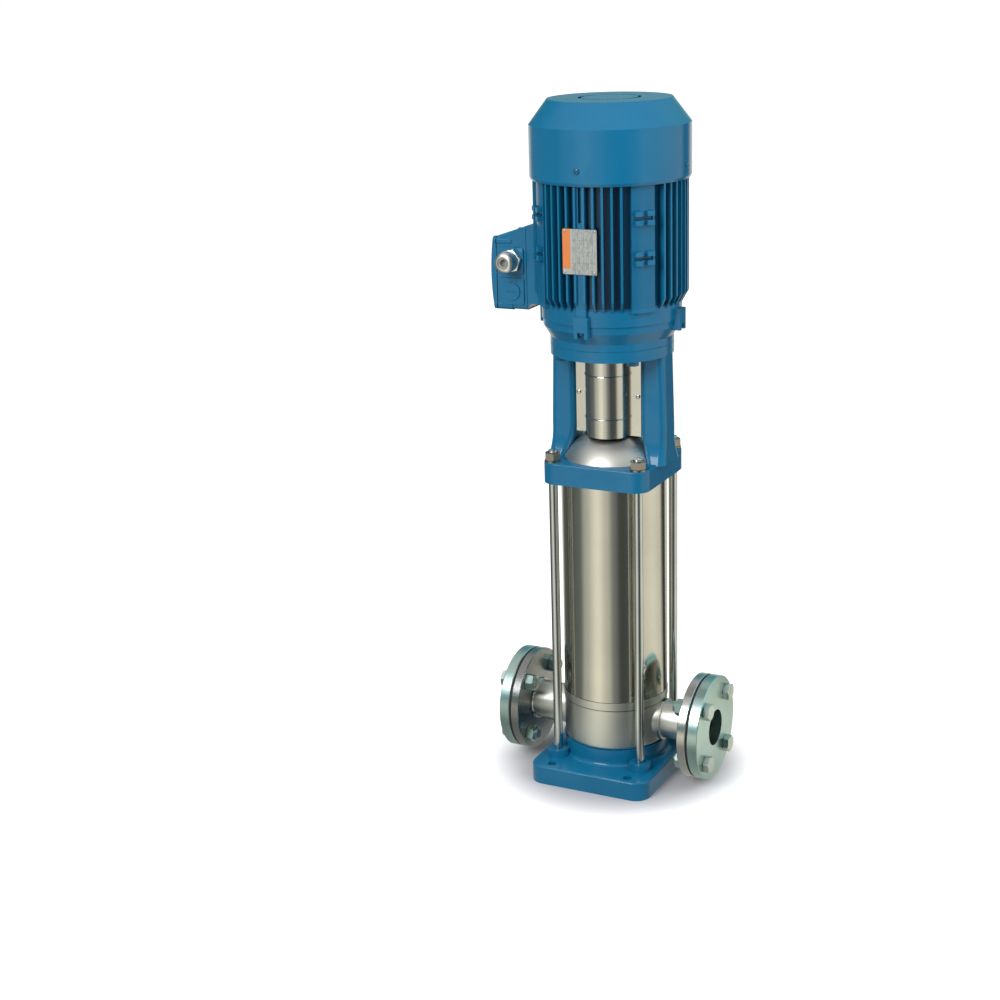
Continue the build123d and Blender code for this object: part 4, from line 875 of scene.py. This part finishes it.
@dataclass(frozen=True)
class Hexagon:
    """A chamfered hexagon nut or bolt that stands on Z = 0 with a corner along X."""

    across_flats: float
    height: float
    bore: float = 0.0
    shank: float = 0.0
    shank_radius: float = 0.0
    chamfer: float = 0.0011
    tip: float = 0.0012

    def model(self, name: str) -> Workbench:
        """Cross a hexagon with a barrel, then sink the bore or raise the shank."""
        corner = self.across_flats / math.sqrt(3.0)
        crown = self.across_flats * 0.48
        bench = Workbench(
            name, bpy.ops.mesh.primitive_cylinder_add, vertices=6, radius=corner, depth=self.height,
            location=(0.0, 0.0, self.height / 2), rotation=(0.0, 0.0, math.radians(30.0)),
        )
        barrel = Workbench(
            name + "_barrel", bpy.ops.mesh.primitive_cylinder_add, vertices=48, radius=corner * 1.01,
            depth=self.height - 2 * self.chamfer, location=(0.0, 0.0, self.height / 2),
        )
        barrel.shape(top_face(self.height - self.chamfer), inset(corner * 1.01 - crown, self.chamfer))
        barrel.shape(bottom_face(self.chamfer), inset(corner * 1.01 - crown, self.chamfer * 0.98))
        if self.bore > 0.0:
            barrel.shape(
                top_face(self.height), inset(crown - self.bore - 0.0008), inset(0.0008, -0.0008), raise_by(-0.0015)
            )
        else:
            barrel.shape(top_face(self.height), inset(crown * 0.16, -0.0003), inset(crown * 0.30))
        bench.cut(barrel, "INTERSECT")
        if self.shank > 0.0:
            body = self.shank - self.tip
            rod = Workbench(
                name + "_shank", bpy.ops.mesh.primitive_cylinder_add, vertices=32, radius=self.shank_radius,
                depth=body + self.tip, location=(0.0, 0.0, (self.tip - body) / 2),
            )
            rod.shape(bottom_face(-body), inset(self.tip, self.tip))
            bench.cut(rod, "UNION")
        return bench


class Recess(Enum):
    """The drive cut in a screw's head."""

    SLOT = "slot"
    SOCKET = "socket"


@dataclass(frozen=True)
class Screw:
    """A round-headed screw that stands on Z = 0."""

    radius: float
    height: float
    recess: Recess
    drive: float
    shank_radius: float
    shank: float

    def model(self, name: str) -> Workbench:
        """Round the head's rim, cut its drive and pull out its shank."""
        rim = self.radius * 0.16
        wall = self.height - 2 * rim
        bench = Workbench(
            name, bpy.ops.mesh.primitive_cylinder_add, vertices=36, radius=self.radius, depth=wall,
            location=(0.0, 0.0, wall / 2),
        )
        bench.shape(top_face(wall), inset(rim * 0.55, rim * 1.2), inset(rim * 1.3, rim * 0.8))
        bench.shape(bottom_face(0.0), inset(self.radius - self.shank_radius), raise_by(-self.shank))
        deep = self.height * 0.45
        if self.recess is Recess.SOCKET:
            tool = Workbench(
                name + "_key", bpy.ops.mesh.primitive_cylinder_add, vertices=6, radius=self.drive / math.sqrt(3.0),
                depth=2 * deep, location=(0.0, 0.0, self.height),
            )
        else:
            tool = Workbench(
                name + "_blade", bpy.ops.mesh.primitive_cube_add, size=1.0,
                scale=(3 * self.radius, self.drive, 2 * deep), location=(0.0, 0.0, self.height),
            )
        return bench.cut(tool, "DIFFERENCE")


# ------------------------------------------------------------------ sub-assemblies
@dataclass
class SubAssembly:
    """A group of the pump's solids with their finishes."""

    shop: Paintshop
    nodes: dict[str, bpy.types.Object]
    finishes: dict[str, Enamel | Metal | Moulded | PlateFace] = field(default_factory=dict)

    def dress(self) -> None:
        """Put each solid's finish on it."""
        for name, finish in self.finishes.items():
            self.shop.coat(self.nodes[name], finish)
            LOG.info("dressed %s in %s", name, finish.name)

    def fit(
        self, piece: bpy.types.Object, finish: Enamel | Metal | Moulded | PlateFace, slot: str, *stands_for: str
    ) -> None:
        """Finish a new piece, fix it to the pump and report it.

        Args:
            piece: the piece.
            finish: its finish.
            slot: the slot that its finish belongs to; not used.
            stands_for: the solids that it is shown instead of.
        """
        self.shop.coat(piece, finish)
        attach(piece, "pump")
        if stands_for:
            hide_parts(*stands_for)
        LOG.info("made %s in %s", piece.name, finish.name)

    def make(self) -> None:
        """Make the group's fine pieces; a plain group has none."""

    def build(self) -> None:
        """Dress the solids, then make the fine pieces."""
        self.dress()
        self.make()


@dataclass
class Base(SubAssembly):
    """Cast base and the tie rods that stand in it."""

    finishes: dict[str, Enamel | Metal | Moulded | PlateFace] = field(
        default_factory=lambda: {
            "base_plate": ENAMEL,
            "tie_rods": BRIGHT_ROD,
            "tie_rod_washers": NUT_STEEL,
            "tie_rod_nuts": NUT_STEEL,
        }
    )
    rod_reach: float = 0.0705
    nut: Hexagon = Hexagon(0.022, 0.012, 0.0071)

    def make(self) -> None:
        """Screw a chamfered nut on each tie rod."""
        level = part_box("tie_rod_nuts")[0][2]
        bench = self.nut.model("tie_rod_nut")
        corners = [(side, depth) for side in (-1, 1) for depth in (-1, 1)]
        for number, (side, depth) in enumerate(corners, 1):
            place = seat((side * self.rod_reach, depth * self.rod_reach, level), (0.0, 0.0, 1.0))
            self.fit(bench.copy(f"tie_rod_nut_{number}", place), NUT_STEEL, "plain_steel", "tie_rod_nuts")
        bench.done()


@dataclass
class WetEnd(SubAssembly):
    """Casing, sleeve, head and everything inside them."""

    finishes: dict[str, Enamel | Metal | Moulded | PlateFace] = field(
        default_factory=lambda: {
            "lower_casing": CASING,
            "outer_sleeve": SLEEVE,
            "pump_head": DOME_STEEL,
            "seal_gland": STAINLESS,
            "gland_screws": STAINLESS,
            "sleeve_seal_rings": RUBBER,
            "inlet_spider": STAINLESS,
            "stage_casings": STAINLESS,
            "impellers": STAINLESS,
            "top_casing": STAINLESS,
            "bottom_bush": CARBON,
            "seal_seat": CARBON,
            "seal_ring": CARBON,
            "pump_shaft": MACHINED,
        }
    )


@dataclass
class PipeFlanges(SubAssembly):
    """Flanges, counter flanges, gaskets and bolts on both branches."""

    finishes: dict[str, Enamel | Metal | Moulded | PlateFace] = field(
        default_factory=lambda: {
            # the suction flange wears the darker stainless copy: painted shade
            "suction_flange": SHADED_FLANGE_STEEL,
            "discharge_flange": STAINLESS,
            "suction_gasket": RUBBER,
            "discharge_gasket": RUBBER,
            "suction_counter_flange": ZINC,
            "discharge_counter_flange": ZINC,
            "flange_bolts": BOLT_ZINC,
            "flange_nuts": ZINC,
        }
    )
    bolt_reach: float = 0.0625 * math.sqrt(0.5)
    port_height: float = 0.090
    bolt: Hexagon = Hexagon(0.024, 0.010, 0.0, 0.052, 0.008)
    nut: Hexagon = Hexagon(0.024, 0.013, 0.0082)
    bead_radius: float = 0.0312
    bead: float = 0.0021

    def weld_bead(self, name: str, across: float) -> bpy.types.Object:
        """Lay a rippled weld bead round a pipe where it meets its flange.

        Args:
            name: the bead's name.
            across: its place along X.

        Returns:
            The bead.
        """
        bench = Workbench(
            name + "_pattern", bpy.ops.mesh.primitive_torus_add, major_radius=self.bead_radius,
            minor_radius=self.bead, major_segments=96, minor_segments=10,
        )
        bench.shape(
            lambda centre, normal: math.sin(32.0 * math.atan2(centre.y, centre.x)) > 0.0,
            lambda: bpy.ops.transform.shrink_fatten(value=0.0004),
        )
        made = bench.copy(name, seat((across, 0.0, self.port_height), (1.0, 0.0, 0.0)))
        bench.done()
        return made

    def make(self) -> None:
        """Bolt up both pairs of flanges and weld the fixed ones on."""
        bolt = self.bolt.model("flange_bolt")
        nut = self.nut.model("flange_nut")
        number = 0
        for side in (-1, 1):
            for across in (-1, 1):
                for up in (-1, 1):
                    number += 1
                    lift = self.port_height + up * self.bolt_reach
                    spin = -45.0 * across * up
                    head = seat((side * 0.170, across * self.bolt_reach, lift), (side, 0.0, 0.0), spin)
                    back = seat((side * 0.136, across * self.bolt_reach, lift), (-side, 0.0, 0.0), -spin)
                    self.fit(bolt.copy(f"flange_bolt_{number}", head), BOLT_ZINC, "zinc_plate", "flange_bolts")
                    self.fit(nut.copy(f"flange_nut_{number}", back), ZINC, "zinc_plate", "flange_nuts")
        bolt.done()
        nut.done()
        for name, side in (("suction_weld", -1), ("discharge_weld", 1)):
            self.fit(self.weld_bead(name, side * (0.136 - self.bead / 2)), STAINLESS, "stainless")


@dataclass
class Lantern(SubAssembly):
    """Lantern bracket, guards and the coupling behind them."""

    finishes: dict[str, Enamel | Metal | Moulded | PlateFace] = field(
        default_factory=lambda: {
            "lantern": ENAMEL,
            "front_guard": GUARD_STEEL,
            "rear_guard": GUARD_STEEL,
            "guard_screws": STAINLESS,
            "front_coupling_half": CAST_IRON,
            "rear_coupling_half": CAST_IRON,
            "coupling_bolts": ZINC,
            "motor_mount_screws": SCREW_ENAMEL,
        }
    )
    guard_centre: float = 0.01698
    guard_radius: float = 0.0350
    bead: float = 0.0011
    bead_heights: tuple[float, ...] = (0.5860, 0.6527)
    screw: Screw = Screw(0.0035, 0.0024, Recess.SOCKET, 0.0025, 0.0020, 0.007)
    screw_across: float = 0.049
    screw_depth: float = 0.0170
    screw_height: float = 0.619

    def guard_bead(self, name: str, facing: int, height: float) -> bpy.types.Object:
        """Roll one stiffening bead round the curved part of a guard.

        Args:
            name: the bead's name.
            facing: -1 for the front guard and 1 for the rear one.
            height: the bead's height.

        Returns:
            The bead.
        """
        bench = Workbench(
            name + "_pattern", bpy.ops.mesh.primitive_torus_add, major_radius=self.guard_radius,
            minor_radius=self.bead, major_segments=96, minor_segments=10,
        )
        bench.shape(
            lambda centre, normal: True,
            lambda: bpy.ops.mesh.bisect(
                plane_co=(0.0, 0.0, 0.0), plane_no=(0.0, float(-facing), 0.0), use_fill=True, clear_outer=True
            ),
        )
        made = bench.copy(name, Matrix.Translation((0.0, facing * self.guard_centre, height)))
        bench.done()
        return made

    def make(self) -> None:
        """Bead both guards and put their screws in."""
        for side, facing in (("front", -1), ("rear", 1)):
            for number, height in enumerate(self.bead_heights, 1):
                self.fit(self.guard_bead(f"{side}_guard_bead_{number}", facing, height), GUARD_STEEL, "stainless")
        bench = self.screw.model("guard_screw")
        for number, (side, facing) in enumerate([(a, b) for a in (-1, 1) for b in (-1, 1)], 1):
            point = (side * self.screw_across, facing * self.screw_depth, self.screw_height)
            made = bench.copy(f"guard_screw_{number}", seat(point, (0.0, facing, 0.0)))
            self.fit(made, SCREW_STEEL, "stainless", "guard_screws")
        bench.done()


@dataclass
class Motor(SubAssembly):
    """Finned motor, its shields, plate, fan and cover."""

    finishes: dict[str, Enamel | Metal | Moulded | PlateFace] = field(
        default_factory=lambda: {
            "drive_end_shield": ENAMEL,
            "rear_end_shield": ENAMEL,
            "motor_frame": FIN_ENAMEL,
            "shield_screws": SCREW_ENAMEL,
            "fan_cover": SHEET_ENAMEL,
            "fan_cover_screws": SCREW_ENAMEL,
            "cooling_fan": NYLON,
            "rating_plate": PLATE,
            "motor_shaft": MACHINED,
            "rotor_core": LAMINATED,
            "stator_core": LAMINATED,
            "stator_windings": COPPER,
            "drive_end_bearing": MACHINED,
            "fan_end_bearing": MACHINED,
            "bearing_inner_rings": MACHINED,
        }
    )
    rivet_radius: float = 0.0019
    rivet_height: float = 0.0010
    rivet_inset: float = 0.0032
    cover_screw: Screw = Screw(0.0046, 0.0024, Recess.SLOT, 0.0011, 0.0025, 0.006)
    cover_radius: float = 0.1204
    ear_screw: Screw = Screw(0.0050, 0.0050, Recess.SOCKET, 0.0050, 0.0030, 0.018)
    ear_radius: float = 0.1085

    def rivets(self) -> None:
        """Rivet the rating plate at its corners."""
        low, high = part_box("rating_plate")
        rise = self.rivet_height / 3
        bench = Workbench(
            "plate_rivet", bpy.ops.mesh.primitive_cylinder_add, vertices=24, radius=self.rivet_radius, depth=rise,
            location=(0.0, 0.0, rise / 2),
        )
        bench.shape(top_face(rise), inset(0.0004, rise), inset(0.0006, rise * 0.7), inset(0.0004, rise * 0.2))
        corners = [
            (across, up)
            for across in (low[0] + self.rivet_inset, high[0] - self.rivet_inset)
            for up in (low[2] + self.rivet_inset, high[2] - self.rivet_inset)
        ]
        for number, (across, up) in enumerate(corners, 1):
            made = bench.copy(f"plate_rivet_{number}", seat((across, low[1], up), (0.0, -1.0, 0.0)))
            self.fit(made, SCREW_STEEL, "bare_aluminium")
        bench.done()

    def make(self) -> None:
        """Rivet the plate and put in the cover's and the drive end shield's screws."""
        self.rivets()
        around = ((1, 0), (0, 1), (-1, 0), (0, -1))
        low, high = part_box("fan_cover_screws")
        level = (low[2] + high[2]) / 2
        bench = self.cover_screw.model("cover_screw")
        for number, (x, y) in enumerate(around, 1):
            place = seat((x * self.cover_radius, y * self.cover_radius, level), (x, y, 0.0), 30.0)
            self.fit(bench.copy(f"cover_screw_{number}", place), SCREW_ENAMEL, "blue_enamel", "fan_cover_screws")
        bench.done()
        low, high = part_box("shield_screws")
        bench = self.ear_screw.model("shield_screw")
        for number, (x, y) in enumerate(around, 1):
            place = seat((x * self.ear_radius, y * self.ear_radius, low[2] + self.ear_screw.height), (0.0, 0.0, -1.0))
            self.fit(bench.copy(f"shield_screw_{number}", place), SCREW_ENAMEL, "blue_enamel", "shield_screws")
        bench.done()


@dataclass
class TerminalBox(SubAssembly):
    """Terminal box with its lid, gland and plug."""

    finishes: dict[str, Enamel | Metal | Moulded | PlateFace] = field(
        default_factory=lambda: {
            "terminal_box": ENAMEL,
            "terminal_box_gasket": RUBBER,
            "terminal_box_lid": ENAMEL,
            "terminal_box_screws": BRIGHT_ROD,
            "terminal_block": NYLON,
            "cable_gland": NICKEL,
            "gland_nut": NICKEL,
            "blanking_plug": ENAMEL,
        }
    )
    entry: tuple[float, float] = (-0.143, 0.822)
    hexagon: Hexagon = Hexagon(0.032, 0.0075, 0.0131, chamfer=0.0014)
    hexagon_face: float = -0.0505
    nut_radius: float = 0.0155
    nut_back: float = -0.058
    nut_wall: float = 0.0165
    crown: float = 0.0045
    lid_screw: Screw = Screw(0.0042, 0.0030, Recess.SLOT, 0.0010, 0.0025, 0.012)
    lid_screw_face: float = -0.1735

    def gland(self) -> None:
        """Make the gland's hexagon, its ribbed dome nut and the rubber insert in the nut's mouth."""
        x, z = self.entry
        bench = self.hexagon.model("gland_hexagon")
        place = seat((x, self.hexagon_face, z), (0.0, -1.0, 0.0), 12.0)
        self.fit(bench.copy("gland_hexagon_fitted", place), NICKEL, "nickel_brass", "cable_gland")
        bench.done()
        bench = Workbench(
            "gland_dome", bpy.ops.mesh.primitive_cylinder_add, vertices=48, radius=self.nut_radius,
            depth=self.nut_wall, location=(0.0, 0.0, self.nut_wall / 2),
        )
        bench.shape(
            lambda centre, normal: abs(normal.z) < 0.1 and math.sin(24.0 * math.atan2(centre.y, centre.x)) > 0.0,
            lambda: bpy.ops.mesh.inset(use_individual=True, thickness=0.0002, depth=-0.0007),
        )
        step = self.crown / 3
        bench.shape(
            top_face(self.nut_wall), inset(0.0006, step), inset(0.0014, step), inset(0.0026, step), inset(0.0012),
            inset(0.0006, -0.0006), raise_by(-0.008),
        )
        place = seat((x, self.nut_back, z), (0.0, -1.0, 0.0))
        self.fit(bench.copy("gland_dome_nut", place), NICKEL, "nickel_brass", "gland_nut")
        bench.done()
        bench = Workbench(
            "gland_seal", bpy.ops.mesh.primitive_cylinder_add, vertices=36, radius=0.0094, depth=0.008,
            location=(0.0, 0.0, 0.004),
        )
        bench.shape(top_face(0.008), inset(0.0010, 0.0007), inset(0.0022), inset(0.0006, -0.0006), raise_by(-0.006))
        place = seat((x, self.nut_back - self.nut_wall + 0.0055, z), (0.0, -1.0, 0.0))
        self.fit(bench.copy("gland_insert", place), GREY_RUBBER, "black_rubber")
        bench.done()

    def make(self) -> None:
        """Make the gland and screw the lid on."""
        self.gland()
        low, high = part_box("terminal_box_screws")
        inset_by = self.lid_screw.radius
        bench = self.lid_screw.model("lid_screw")
        across = (low[1] + inset_by, high[1] - inset_by)
        upward = (low[2] + inset_by, high[2] - inset_by)
        corners = [(y, z) for y in across for z in upward]
        for number, (y, z) in enumerate(corners, 1):
            place = seat((self.lid_screw_face, y, z), (-1.0, 0.0, 0.0), 25.0 * number)
            self.fit(bench.copy(f"lid_screw_{number}", place), SCREW_STEEL, "zinc_plate", "terminal_box_screws")
        bench.done()


def main() -> None:
    """Build every sub-assembly, then the studio and camera."""
    logging.basicConfig(level=logging.INFO, format="%(name)s: %(message)s")
    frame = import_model()
    shop = Paintshop()
    for group in (Base, WetEnd, PipeFlanges, Lantern, Motor, TerminalBox):
        group(shop, frame["nodes"]).build()
    Studio().build()
    Camera().build()


if __name__ == "__main__":
    main()
